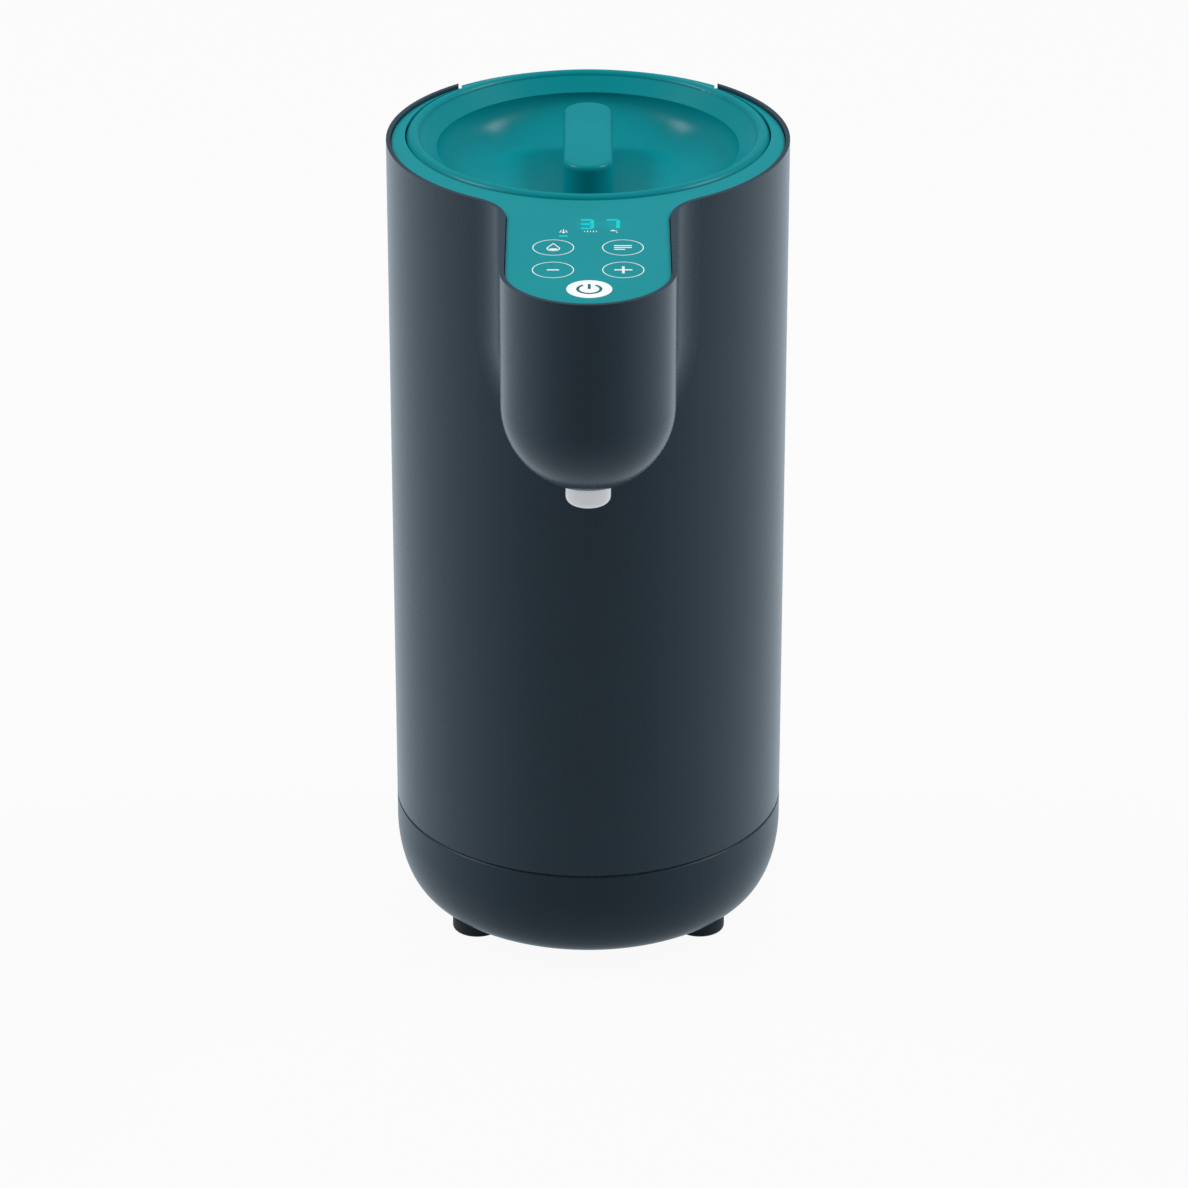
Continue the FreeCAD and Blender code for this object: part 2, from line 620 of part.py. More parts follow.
def make_touch_board():
    half = TOUCH_W / 2
    board = cylinder(half, TOUCH_UNDER, TOUCH_TOP, 0.0, LOBE_Y)
    board = board.fuse(block(-half, half, LOBE_Y, LOBE_Y + TOUCH_REAR, TOUCH_UNDER, TOUCH_TOP))
    for x, y in POSTS:
        board = board.cut(cylinder(SMALL_SCREW_R + SCREW_PLAY, TOUCH_UNDER, TOUCH_TOP, x, y))
    width, depth, height = RIBBON_PLUG
    x, y = RIBBON_OFFSET[0], LOBE_Y + RIBBON_OFFSET[1]
    plug = block(x - width / 2, x + width / 2, y - depth / 2, y + depth / 2,
                 TOUCH_UNDER - height, TOUCH_UNDER)
    return Part.makeCompound([board.removeSplitter(), plug])


def make_touch_screws():
    return Part.makeCompound([screw_up(x, y, TOUCH_UNDER, PCB_T + SMALL_BITE, SMALL_SCREW_R,
                                       SMALL_HEAD_R, SMALL_HEAD_H) for x, y in POSTS])


def make_touch_pads():
    return Part.makeCompound([cylinder(KEY_PAD_R, TOUCH_TOP, DECK_UNDER, x, LOBE_Y + off)
                              for x, off in KEY_OFFSETS])


def make_led_display():
    width, depth = DISPLAY_SIZE
    x, y = DISPLAY_OFFSET[0], LOBE_Y + DISPLAY_OFFSET[1]
    body = block(x - width / 2, x + width / 2, y - depth / 2, y + depth / 2, TOUCH_TOP, DECK_UNDER)
    digit_w, digit_l, digit_t = DIGIT_SIZE
    for dx, off in DIGIT_OFFSETS:
        low = LOBE_Y + off - digit_l / 2
        body = body.cut(block(dx - digit_w / 2, dx + digit_w / 2, low, low + digit_l,
                              DECK_UNDER - digit_t, DECK_UNDER))
    return body


# Lid

def bowl_ring(weight, inset, height):
    """Ring of eight arcs, from the square floor (weight 0) to the crease's circle (weight 1)."""
    half = BOWL_FLOOR / 2 + inset
    corner_r = BOWL_CORNER_R + inset
    round_r = CREASE_R + inset
    flat = half - corner_r
    turn = math.atan2(flat, half)

    def mix(square, circle):
        return square + (circle - square) * weight

    side = (mix(half, round_r), 0.0)
    joint = (mix(half, round_r * math.cos(turn)), mix(flat, round_r * math.sin(turn)))
    corner = mix(flat + corner_r * math.sqrt(0.5), round_r * math.sqrt(0.5))

    def spot(point, quarter):
        angle = math.radians(90 * quarter)
        x, y = point
        return vec(x * math.cos(angle) - y * math.sin(angle),
                   LID_Y + x * math.sin(angle) + y * math.cos(angle), height)

    edges = []
    for quarter in range(4):
        start = spot((joint[0], -joint[1]), quarter)
        end = spot(joint, quarter)
        leave = spot((joint[1], joint[0]), quarter)
        if weight > 0:
            edges.append(Part.Arc(start, spot(side, quarter), end).toShape())
        else:
            edges.append(Part.makeLine(start, end))
        edges.append(Part.Arc(end, spot((corner, corner), quarter), leave).toShape())
    return Part.Wire(edges)


def bowl_solid(inset, above=0.0):
    """Space of the lid's bowl: a circle at the crease running into a square floor."""
    depth = CREASE_Z - BOWL_Z
    rings = []
    for share in BOWL_STATIONS:
        height = CREASE_Z - share * (depth + inset)
        rings.append(bowl_ring((1 - share ** 2) ** BOWL_EASE, inset, height))
    bowl = Part.makeLoft(rings, True, False)
    if above > 0:
        bowl = bowl.fuse(cylinder(CREASE_R + inset, CREASE_Z, CREASE_Z + above, 0.0, LID_Y))
    return bowl


def lid_section():
    """Half section of the lid's edge from the crease outwards, as a face."""
    crest_r = LID_R - BEAD_R
    slope_top = vec(crest_r - BEAD_R * 0.8, 0, RIM_Z - BEAD_R * 0.55)
    crease = vec(CREASE_R, 0, CREASE_Z)
    inner_skirt_r = LID_R - LID_WALL
    points = [
        vec(inner_skirt_r, 0, RIM_Z - LID_SKIRT_H),
        vec(LID_R, 0, RIM_Z - LID_SKIRT_H),
        vec(LID_R, 0, RIM_Z - BEAD_R),
    ]
    lines = [Part.makeLine(points[0], points[1]), Part.makeLine(points[1], points[2])]
    crown = Part.Arc(points[2], vec(crest_r + BEAD_R * math.sqrt(0.5), 0,
                                    RIM_Z - BEAD_R * (1 - math.sqrt(0.5))),
                     vec(crest_r, 0, RIM_Z)).toShape()
    shoulder = Part.Arc(vec(crest_r, 0, RIM_Z),
                        vec(crest_r - BEAD_R * 0.46, 0, RIM_Z - BEAD_R * 0.14), slope_top).toShape()
    plug_in_r = PLUG_OUT_R - PLUG_T
    tail = [slope_top, crease, vec(CREASE_R, 0, CREASE_Z - LID_WALL),
            vec(plug_in_r, 0, CREASE_Z - LID_WALL), vec(plug_in_r, 0, CREASE_Z - PLUG_H),
            vec(PLUG_OUT_R, 0, CREASE_Z - PLUG_H), vec(PLUG_OUT_R, 0, TANK_TOP + SEAT_GAP),
            vec(inner_skirt_r, 0, TANK_TOP + SEAT_GAP), points[0]]
    lines += [crown, shoulder] + [Part.makeLine(a, b) for a, b in zip(tail, tail[1:])]
    return Part.Face(Part.Wire(lines))


def rear_lip():
    """Part of the lid that fills the shell's rear cut-out flush."""
    half = NOTCH_X - NOTCH_GAP
    low = RIM_Z - NOTCH_H + LID_GAP
    lip = cylinder(BODY_R - 0.1, low, RIM_Z - DECK_DROP).cut(
        cylinder(LID_R - LID_WALL, low, RIM_Z, 0.0, LID_Y))
    return lip.common(block(-half, half, LID_Y, BODY_R, low, RIM_Z))


def make_tank_lid():
    face = lid_section()
    face.translate(vec(0, LID_Y, 0))
    ring = face.revolve(vec(0, LID_Y, 0), vec(0, 0, 1), 360)
    bowl = bowl_solid(LID_WALL).cut(bowl_solid(0.0))
    grip_top = RIM_Z - GRIP_DROP
    grip = capsule(GRIP_W, GRIP_L, LID_UNDER, grip_top, LID_Y)
    top_edges = [e for e in grip.Edges if e.BoundBox.ZMin > grip_top - 0.01]
    grip = grip.makeFillet(GRIP_EDGE_R, top_edges)
    hollow = capsule(GRIP_W - 2 * LID_WALL, GRIP_L - 2 * LID_WALL, LID_UNDER,
                     grip_top - LID_WALL, LID_Y)
    lid = ring.fuse([bowl, grip, rear_lip()]).cut(hollow)
    return lid


def make_lid_seal():
    z = CREASE_Z - PLUG_H + SEAL_RISE
    return tube(TANK_IN_R - SEAL_FIT, PLUG_OUT_R, z, z + SEAL_H, 0.0, LID_Y)


def make_lid_inner_plate():
    """Cover that closes the grip's hollow from below."""
    plate = capsule(GRIP_W + 2 * PLATE_MARGIN, GRIP_L + 2 * PLATE_MARGIN, LID_UNDER - PLATE_T,
                    LID_UNDER, LID_Y)
    shrink = 2 * (LID_WALL + SEAT_GAP)
    key = capsule(GRIP_W - shrink, GRIP_L - shrink, LID_UNDER, LID_UNDER + PLATE_KEY_H, LID_Y)
    return plate.fuse(key).removeSplitter()


# Tank

def make_water_tank():
    tank = cylinder(TANK_R, TANK_FLOOR_Z, TANK_TOP, 0.0, LID_Y)
    tank = tank.fuse(cylinder(NECK_OUT_R, NECK_Z, TANK_FLOOR_Z, 0.0, LID_Y))
    tank = tank.cut(cylinder(TANK_IN_R, TANK_IN_Z, TANK_TOP, 0.0, LID_Y))
    return tank.cut(cylinder(NECK_BORE_R, NECK_Z, TANK_IN_Z, 0.0, LID_Y))


def make_valve_seat():
    return tube(NECK_BORE_R, SEAT_HOLE_R, NECK_Z, SEAT_TOP, 0.0, LID_Y)


def make_valve_poppet():
    head = cylinder(POPPET_R, POPPET_Z, POPPET_TOP, 0.0, LID_Y)
    stem = cylinder(STEM_R, STEM_FOOT_Z, STEM_TOP, 0.0, LID_Y)
    return head.fuse(stem)


def make_valve_seal():
    return tube(POPPET_R - 0.3, SEAT_HOLE_R + 0.5, POPPET_SEAL_Z, POPPET_Z, 0.0, LID_Y)


def make_valve_spring():
    height = CAGE_UNDER - POPPET_TOP - 2 * SPRING_WIRE_R
    path = Part.makeHelix(height / SPRING_TURNS, height, SPRING_R)
    ring = Part.Wire(Part.makeCircle(SPRING_WIRE_R, vec(SPRING_R, 0, 0), vec(0, 1, 0)))
    spring = Part.Wire(path).makePipeShell([ring], True, True)
    spring.translate(vec(0, LID_Y, POPPET_TOP + SPRING_WIRE_R))
    return spring


def make_valve_cage():
    cage = cylinder(CAGE_R, TANK_IN_Z, CAGE_TOP, 0.0, LID_Y)
    cage = cage.cut(cylinder(CAGE_R - CAGE_WALL, TANK_IN_Z, CAGE_UNDER, 0.0, LID_Y))
    for turn in (0, 90):
        slot = block(-CAGE_R - 1, CAGE_R + 1, -CAGE_SLOT_W / 2, CAGE_SLOT_W / 2,
                     TANK_IN_Z + CAGE_FLANGE_T, CAGE_UNDER)
        slot.rotate(vec(0, 0, 0), vec(0, 0, 1), turn)
        slot.translate(vec(0, LID_Y, 0))
        cage = cage.cut(slot)
    flange = tube(CAGE_FLANGE_R, CAGE_R - CAGE_WALL, TANK_IN_Z, TANK_IN_Z + CAGE_FLANGE_T, 0.0, LID_Y)
    cage = cage.fuse(flange)
    return cage.cut(cylinder(STEM_R + SLIDE_FIT, CAGE_UNDER - 1, CAGE_TOP + 1, 0.0, LID_Y))


def make_inlet_filter():
    top = TANK_IN_Z + FILTER_H
    cup = cylinder(FILTER_R, TANK_IN_Z, top, 0.0, LID_Y)
    cup = cup.cut(cylinder(FILTER_R - FILTER_T, TANK_IN_Z, top - FILTER_T, 0.0, LID_Y))
    slots = []
    for i in range(FILTER_SLOTS):
        slot = block(FILTER_R - 2 * FILTER_T, FILTER_R + 1, -FILTER_SLOT_W / 2, FILTER_SLOT_W / 2,
                     TANK_IN_Z + FILTER_BAND, top - FILTER_BAND)
        slot.rotate(vec(0, 0, 0), vec(0, 0, 1), 360.0 * i / FILTER_SLOTS)
        slot.translate(vec(0, LID_Y, 0))
        slots.append(slot)
    return cup.cut(slots)


def make_float_guide():
    foot_top = TANK_IN_Z + FLOAT_FOOT_H
    rod_top = TANK_IN_Z + FLOAT_ROD_L
    guide = cylinder(FLOAT_FOOT_R, TANK_IN_Z, foot_top, FLOAT_X, LID_Y)
    guide = guide.fuse(cylinder(FLOAT_ROD_R, foot_top, rod_top - FLOAT_CAP_H, FLOAT_X, LID_Y))
    return guide.fuse(cylinder(FLOAT_CAP_R, rod_top - FLOAT_CAP_H, rod_top, FLOAT_X, LID_Y))


def make_level_float():
    low = TANK_IN_Z + FLOAT_FOOT_H
    body = tube(FLOAT_R, FLOAT_ROD_R + SLIDE_FIT, low, low + FLOAT_H, FLOAT_X, LID_Y)
    return body.cut(magnet_ring())


def magnet_ring():
    low = TANK_IN_Z + FLOAT_FOOT_H + MAGNET_RISE
    return tube(MAGNET_OUT_R, MAGNET_IN_R, low, low + MAGNET_H, FLOAT_X, LID_Y)


# Cradle

def make_tank_cradle():
    plate = cylinder(CRADLE_R, CRADLE_UNDER, TANK_FLOOR_Z)
    wall = tube(CRADLE_WALL_R, TANK_R + TANK_CLEAR, TANK_FLOOR_Z, TANK_FLOOR_Z + CRADLE_WALL_H,
                0.0, LID_Y)
    wall = wall.common(cylinder(CRADLE_R, CRADLE_UNDER, TANK_FLOOR_Z + CRADLE_WALL_H))
    socket = cylinder(SOCKET_R + SOCKET_WALL, SOCKET_UNDER, CRADLE_UNDER, 0.0, LID_Y)
    outlet = cylinder(OUTLET_R, SOCKET_UNDER - OUTLET_L, SOCKET_UNDER, 0.0, LID_Y)
    legs = [cylinder(LEG_R, LEG_BOSS_TOP, CRADLE_UNDER, x, y) for x, y in LEG_SPOTS]
    tabs = [block(x - TAB_W / 2, x + TAB_W / 2, -LEG_Y, BOARD_Y, z, z + TAB_H)
            for x in (-LEG_X, LEG_X) for z in TAB_ZS]
    cradle = plate.fuse([wall, socket, outlet] + legs + tabs)
    cradle = cradle.cut(cylinder(SOCKET_R, SOCKET_FLOOR_Z, TANK_FLOOR_Z, 0.0, LID_Y))
    cradle = cradle.cut(block(-SERVICE_W / 2, SERVICE_W / 2, -CRADLE_R - 1,
                              -CRADLE_R + SERVICE_DEPTH, CRADLE_UNDER, TANK_FLOOR_Z))
    cradle = cradle.fuse(cylinder(OPENER_R, SOCKET_FLOOR_Z, STEM_FOOT_Z, 0.0, LID_Y))
    drains = [rod(OUTLET_BORE_R, (6.0 * sx, LID_Y, SOCKET_FLOOR_Z + 1), (0, LID_Y, SOCKET_UNDER - 4))
              for sx in (-1, 1)]
    bore = cylinder(OUTLET_BORE_R, SOCKET_UNDER - OUTLET_L, SOCKET_UNDER - 2, 0.0, LID_Y)
    cradle = cradle.cut(drains + [bore])
    for x, y in LEG_SPOTS:
        cradle = cradle.cut(cylinder(LEG_SCREW_R, LEG_BOSS_TOP, LEG_BOSS_TOP + LEG_BITE + 2, x, y))
    for x in (-LEG_X, LEG_X):
        for z in TAB_ZS:
            middle = z + TAB_H / 2
            cradle = cradle.cut(rod(SCREW_R, (x, BOARD_Y - BOARD_SCREW_L, middle), (x, BOARD_Y, middle)))
    return cradle


def make_socket_gasket():
    return tube(SOCKET_R - 0.1, SOCKET_R - 6.0, SOCKET_FLOOR_Z, NECK_Z, 0.0, LID_Y)


def make_level_sensor():
    width, depth, height = SENSOR_SIZE
    return block(FLOAT_X - width / 2, FLOAT_X + width / 2, LID_Y - depth / 2, LID_Y + depth / 2,
                 CRADLE_UNDER - height, CRADLE_UNDER)


def make_base_screws():
    seat = BASE_Z + LEG_SEAT
    length = LEG_BOSS_TOP - seat + LEG_BITE
    return Part.makeCompound([screw_up(x, y, seat, length, LEG_SCREW_R, LEG_SCREW_HEAD_R,
                                       LEG_SCREW_HEAD_H) for x, y in LEG_SPOTS])


# Spout

def make_spout_nozzle():
    nozzle = cylinder(NOZZLE_R, NOZZLE_Z, NOZZLE_TOP, 0.0, LOBE_Y)
    tip = [e for e in nozzle.Edges if e.BoundBox.ZMax < NOZZLE_Z + 0.01]
    nozzle = nozzle.makeFillet(NOZZLE_TIP_R, tip)
    nozzle = nozzle.cut(cylinder(NOZZLE_BORE_R, NOZZLE_Z - 1, NOZZLE_TOP, 0.0, LOBE_Y))
    return nozzle.cut(cylinder(SPIGOT_R + SLIDE_FIT, NOZZLE_TOP - SOCKET_L, NOZZLE_TOP + 1, 0.0, LOBE_Y))


def make_spout_elbow():
    tail_end = LOBE_Y + ELBOW_TAIL_L
    elbow = cylinder(SPIGOT_R, SPIGOT_FOOT, ELBOW_AXIS_Z, 0.0, LOBE_Y)
    parts = [
        cylinder(ELBOW_FLANGE_R, ELBOW_FLANGE_Z, ELBOW_FLANGE_Z + ELBOW_FLANGE_T, 0.0, LOBE_Y),
        Part.makeSphere(SPIGOT_R, vec(0, LOBE_Y, ELBOW_AXIS_Z)),
        rod(OUTLET_R, (0, LOBE_Y, ELBOW_AXIS_Z), (0, tail_end, ELBOW_AXIS_Z)),
    ]
    elbow = elbow.fuse(parts)
    bores = [cylinder(ELBOW_BORE_R, SPIGOT_FOOT, ELBOW_AXIS_Z, 0.0, LOBE_Y),
             rod(OUTLET_BORE_R, (0, LOBE_Y, ELBOW_AXIS_Z), (0, tail_end, ELBOW_AXIS_Z))]
    return elbow.cut(bores)


# Pump

def mount_spots():
    spots = []
    for i in range(3):
        turn = math.radians(90 + 120 * i)
        spots.append((PUMP_X + MOUNT_RING_R * math.cos(turn), LID_Y + MOUNT_RING_R * math.sin(turn)))
    return spots


def make_pump_head():
    head = cylinder(PUMP_HEAD_R, PUMP_HEAD_Z, PUMP_HEAD_TOP, PUMP_X, LID_Y)
    ports = [
        rod(OUTLET_R, (PUMP_X - PUMP_HEAD_R + 2, LID_Y, PORT_Z),
            (PUMP_X - PUMP_HEAD_R - PORT_L, LID_Y, PORT_Z)),
        rod(OUTLET_R, (PUMP_X, LID_Y + PUMP_HEAD_R - 2, PORT_Z),
            (PUMP_X, LID_Y + PUMP_HEAD_R + PORT_L, PORT_Z)),
    ]
    head = head.fuse(ports)
    bores = [
        cylinder(PUMP_CHAMBER_R, PUMP_CHAMBER_Z, PUMP_CHAMBER_Z + PUMP_CHAMBER_H, PUMP_X, LID_Y),
        rod(OUTLET_BORE_R, (PUMP_X, LID_Y, PORT_Z), (PUMP_X - PUMP_HEAD_R - PORT_L, LID_Y, PORT_Z)),
        rod(OUTLET_BORE_R, (PUMP_X, LID_Y, PORT_Z), (PUMP_X, LID_Y + PUMP_HEAD_R + PORT_L, PORT_Z)),
        cylinder(SHAFT_R + SLIDE_FIT, PUMP_CHAMBER_Z - 2, PUMP_HEAD_TOP, PUMP_X, LID_Y),
    ]
    return head.cut(bores)


def make_pump_motor():
    top = PUMP_HEAD_TOP + MOTOR_H
    can = cylinder(MOTOR_R, PUMP_HEAD_TOP, top, PUMP_X, LID_Y)
    can = can.makeFillet(MOTOR_EDGE_R, [e for e in can.Edges if e.BoundBox.ZMin > top - 0.01])
    boss = cylinder(BEARING_R, top, top + BEARING_H, PUMP_X, LID_Y)
    thick, wide, tall = TERMINAL_SIZE
    terminals = [block(x - thick / 2, x + thick / 2, LID_Y - wide / 2, LID_Y + wide / 2, top, top + tall)
                 for x in (PUMP_X - TERMINAL_X, PUMP_X + TERMINAL_X)]
    can = can.fuse([boss] + terminals)
    reach = ROTOR_Z + SHAFT_L + 1.0
    return can.cut(cylinder(SHAFT_R + SLIDE_FIT, PUMP_HEAD_TOP - 1, reach, PUMP_X, LID_Y))


def make_pump_rotor():
    rotor = cylinder(SHAFT_R, ROTOR_Z, ROTOR_Z + SHAFT_L, PUMP_X, LID_Y)
    hub = cylinder(ROTOR_HUB_R, ROTOR_Z, ROTOR_Z + ROTOR_H, PUMP_X, LID_Y)
    disc = cylinder(ROTOR_R, ROTOR_Z, ROTOR_Z + DISC_T, PUMP_X, LID_Y)
    vanes = []
    for i in range(ROTOR_VANES):
        vane = block(ROTOR_HUB_R - 1, ROTOR_R - 0.2, -VANE_T / 2, VANE_T / 2, ROTOR_Z, ROTOR_Z + ROTOR_H)
        vane.rotate(vec(0, 0, 0), vec(0, 0, 1), 360.0 * i / ROTOR_VANES)
        vane.translate(vec(PUMP_X, LID_Y, 0))
        vanes.append(vane)
    return rotor.fuse([hub, disc] + vanes)


def make_pump_mounts():
    return Part.makeCompound([cylinder(MOUNT_R, PEDESTAL_TOP, PUMP_HEAD_Z, x, y)
                              for x, y in mount_spots()])


# Heater

def make_heater_body():
    body = tube(HEATER_R, HEATER_BORE_R, HEATER_Z, HEATER_TOP, HEATER_X, HEATER_Y)
    caps = [cylinder(HEATER_R, z, z + HEATER_CAP_T, HEATER_X, HEATER_Y)
            for z in (HEATER_Z, HEATER_TOP - HEATER_CAP_T)]
    out_tail = cylinder(OUTLET_R, HEATER_TOP, HEATER_TOP + PORT_L, HEATER_X, HEATER_Y)
    in_tail = rod(OUTLET_R, (HEATER_X, HEATER_Y + HEATER_R - 2, PORT_Z),
                  (HEATER_X, HEATER_Y + HEATER_R + PORT_L, PORT_Z))
    pads = [block(HEATER_X - PAD_W / 2, HEATER_X + PAD_W / 2, HEATER_Y - HEATER_R - PAD_OUT,
                  HEATER_Y - HEATER_BORE_R - 1, z - PAD_W / 2, z + PAD_W / 2) for z in CUTOUT_ZS]
    body = body.fuse(caps + [out_tail, in_tail] + pads)
    bores = [
        cylinder(OUTLET_BORE_R, HEATER_TOP - HEATER_CAP_T - 1, HEATER_TOP + PORT_L, HEATER_X, HEATER_Y),
        rod(OUTLET_BORE_R, (HEATER_X, HEATER_Y, PORT_Z), (HEATER_X, HEATER_Y + HEATER_R + PORT_L, PORT_Z)),
        cylinder(PROBE_R, HEATER_TOP - HEATER_CAP_T - 1, HEATER_TOP, HEATER_X + PROBE_AT[0],
                 HEATER_Y + PROBE_AT[1]),
    ]
    return body.cut(bores).removeSplitter()


def make_heater_bracket():
    """Bent steel strip: foot on the base, upright behind the heater, clamp ring."""
    back_x = HEATER_X - HEATER_R - BRACKET_T
    half = BRACKET_W / 2
    reach = HEATER_X + BRACKET_REACH
    low_y, high_y = HEATER_Y - half, HEATER_Y + half
    foot = block(back_x, reach, low_y, high_y, BASE_FLOOR, BASE_FLOOR + BRACKET_T)
    upright = block(back_x, back_x + BRACKET_T, low_y, high_y, BASE_FLOOR, HEATER_TOP - BRACKET_DROP)
    shelf = block(back_x, reach, low_y, high_y, HEATER_Z - BRACKET_T, HEATER_Z)
    clamps = []
    for z in (HEATER_Z + CLAMP_LOW, HEATER_TOP - CLAMP_HIGH):
        ring = tube(HEATER_R + BRACKET_T, HEATER_R, z, z + CLAMP_H, HEATER_X, HEATER_Y)
        clamps.append(ring)
    return foot.fuse([upright, shelf] + clamps).removeSplitter()


def make_thermal_cutouts():
    face_y = HEATER_Y - HEATER_R - PAD_OUT
    cutouts = []
    for z in CUTOUT_ZS:
        can = rod(CUTOUT_R, (HEATER_X, face_y, z), (HEATER_X, face_y - CUTOUT_T, z))
        blades = [block(x - BLADE_T / 2, x + BLADE_T / 2, face_y - CUTOUT_T - BLADE_L,
                        face_y - CUTOUT_T, z - BLADE_W / 2, z + BLADE_W / 2)
                  for x in (HEATER_X - BLADE_X, HEATER_X + BLADE_X)]
        cutouts.append(can.fuse(blades))
    return Part.makeCompound(cutouts)


def make_temperature_sensor():
    x = HEATER_X + PROBE_AT[0]
    y = HEATER_Y + PROBE_AT[1]
    low = HEATER_TOP - HEATER_CAP_T
    return cylinder(PROBE_R - 0.05, low, HEATER_TOP, x, y).fuse(
        cylinder(PROBE_R + 1.0, HEATER_TOP, HEATER_TOP + PROBE_L - HEATER_CAP_T, x, y))


# Hoses and wiring

def make_tank_hose():
    return hose([(0, LID_Y, SOCKET_UNDER - OUTLET_L + HOSE_GRIP), (0, LID_Y, PORT_Z),
                 (PUMP_X - PUMP_HEAD_R - PORT_L + HOSE_GRIP, LID_Y, PORT_Z)])


def make_heater_hose():
    run_y = HEATER_Y + HEATER_R + PORT_L + HOSE_BEND + 0.5
    return hose([(PUMP_X, LID_Y + PUMP_HEAD_R + PORT_L - HOSE_GRIP, PORT_Z), (PUMP_X, run_y, PORT_Z),
                 (HEATER_X, run_y, PORT_Z),
                 (HEATER_X, HEATER_Y + HEATER_R + PORT_L - HOSE_GRIP, PORT_Z)])


def make_spout_hose():
    return hose([(HEATER_X, HEATER_Y, HEATER_TOP + PORT_L - HOSE_GRIP),
                 (HEATER_X, HEATER_Y, SPOUT_HOSE_LOW_Z),
                 (0, HEATER_Y - SPOUT_HOSE_TURN, SPOUT_HOSE_LOW_Z),
                 (0, SPOUT_HOSE_Y, SPOUT_HOSE_LOW_Z),
                 (0, SPOUT_HOSE_Y, ELBOW_AXIS_Z),
                 (0, LOBE_Y + ELBOW_TAIL_L - HOSE_GRIP, ELBOW_AXIS_Z)])


def make_wire_harness():
    """Three mains wires from the inlet and one cable up to the touch board."""
    inlet_y = INLET_FACE_Y - INLET_DEPTH - WIRE_R
    board_y = BOARD_Y + PCB_T + BOXES[3][4]
    wires = []
    for i, (x, tail_x) in enumerate(zip(WIRE_XS, WIRE_TAIL_XS)):
        z = INLET_Z + WIRE_STEP * i
        wires.append(swept([(tail_x, inlet_y, INLET_Z), (x, inlet_y - 2 * WIRE_STEP, z), (x, board_y, z)],
                           WIRE_R, WIRE_BEND))
    start_y = BOARD_Y + PCB_T / 2
    top = BOARD_Z + BOARD_H
    plug_y = LOBE_Y + RIBBON_OFFSET[1]
    wires.append(swept([(CABLE_X, start_y, top), (CABLE_X, start_y, top + CABLE_RISES[0]),
                        (CABLE_X, SPOUT_HOSE_Y, top + CABLE_RISES[1]),
                        (CABLE_X, SPOUT_HOSE_Y, TOUCH_UNDER - CABLE_DROPS[0]),
                        (CABLE_X, plug_y, TOUCH_UNDER - CABLE_DROPS[1]),
                        (CABLE_X, plug_y, TOUCH_UNDER - RIBBON_PLUG[2])], CABLE_R, CABLE_BEND))
    return Part.makeCompound(wires)


# Power board and inlet

def make_power_board():
    board = block(-BOARD_W / 2, BOARD_W / 2, BOARD_Y, BOARD_Y + PCB_T, BOARD_Z, BOARD_Z + BOARD_H)
    for x in (-LEG_X, LEG_X):
        for z in TAB_ZS:
            board = board.cut(rod(SCREW_R + SCREW_PLAY, (x, BOARD_Y, z + TAB_H / 2),
                                  (x, BOARD_Y + PCB_T, z + TAB_H / 2)))
    return board


def make_board_parts():
    """Parts soldered to the rear face of the power board."""
    face = BOARD_Y + PCB_T
    parts = [block(x, x + width, face, face + depth, BOARD_Z + z, BOARD_Z + z + height)
             for x, z, width, height, depth in BOXES]
    parts += [rod(radius, (x, face, BOARD_Z + z), (x, face + length, BOARD_Z + z))
              for x, z, radius, length in CANS]
    return Part.makeCompound(parts)


def make_board_screws():
    screws = []
    face = BOARD_Y + PCB_T
    for x in (-LEG_X, LEG_X):
        for z in TAB_ZS:
            middle = z + TAB_H / 2
            head = rod(SCREW_HEAD_R, (x, face, middle), (x, face + SCREW_HEAD_H, middle))
            screws.append(head.fuse(rod(SCREW_R, (x, face, middle), (x, BOARD_Y - BOARD_SCREW_L, middle))))
    return Part.makeCompound(screws)


def make_power_inlet():
    """Mains inlet: body from inside through the shell's window, with three pins."""
    half_w, half_h = INLET_W / 2, INLET_H / 2
    back = INLET_FACE_Y - INLET_DEPTH
    body = block(-half_w, half_w, back, INLET_FACE_Y, INLET_Z - half_h, INLET_Z + half_h)
    flange_y = math.sqrt(INNER_R ** 2 - (half_w + INLET_FLANGE) ** 2) - SEAT_GAP
    flange = block(-half_w - INLET_FLANGE, half_w + INLET_FLANGE, flange_y - FLANGE_T, flange_y,
                   INLET_Z - half_h, INLET_Z + half_h)
    width, height, depth = INLET_CAVITY
    cavity = block(-width / 2, width / 2, INLET_FACE_Y - depth, INLET_FACE_Y + 1, INLET_Z - height / 2,
                   INLET_Z + height / 2)
    body = body.fuse(flange).cut(cavity)
    pin_w, pin_h, pin_l = PIN_SIZE
    floor_y = INLET_FACE_Y - depth
    pins = [block(x - pin_w / 2, x + pin_w / 2, floor_y, floor_y + pin_l, z - pin_h / 2, z + pin_h / 2)
            for x, z in ((-PIN_X, INLET_Z + PIN_ZS[0]), (0.0, INLET_Z + PIN_ZS[1]),
                         (PIN_X, INLET_Z + PIN_ZS[0]))]
    return body.fuse(pins)


# Write one file per node

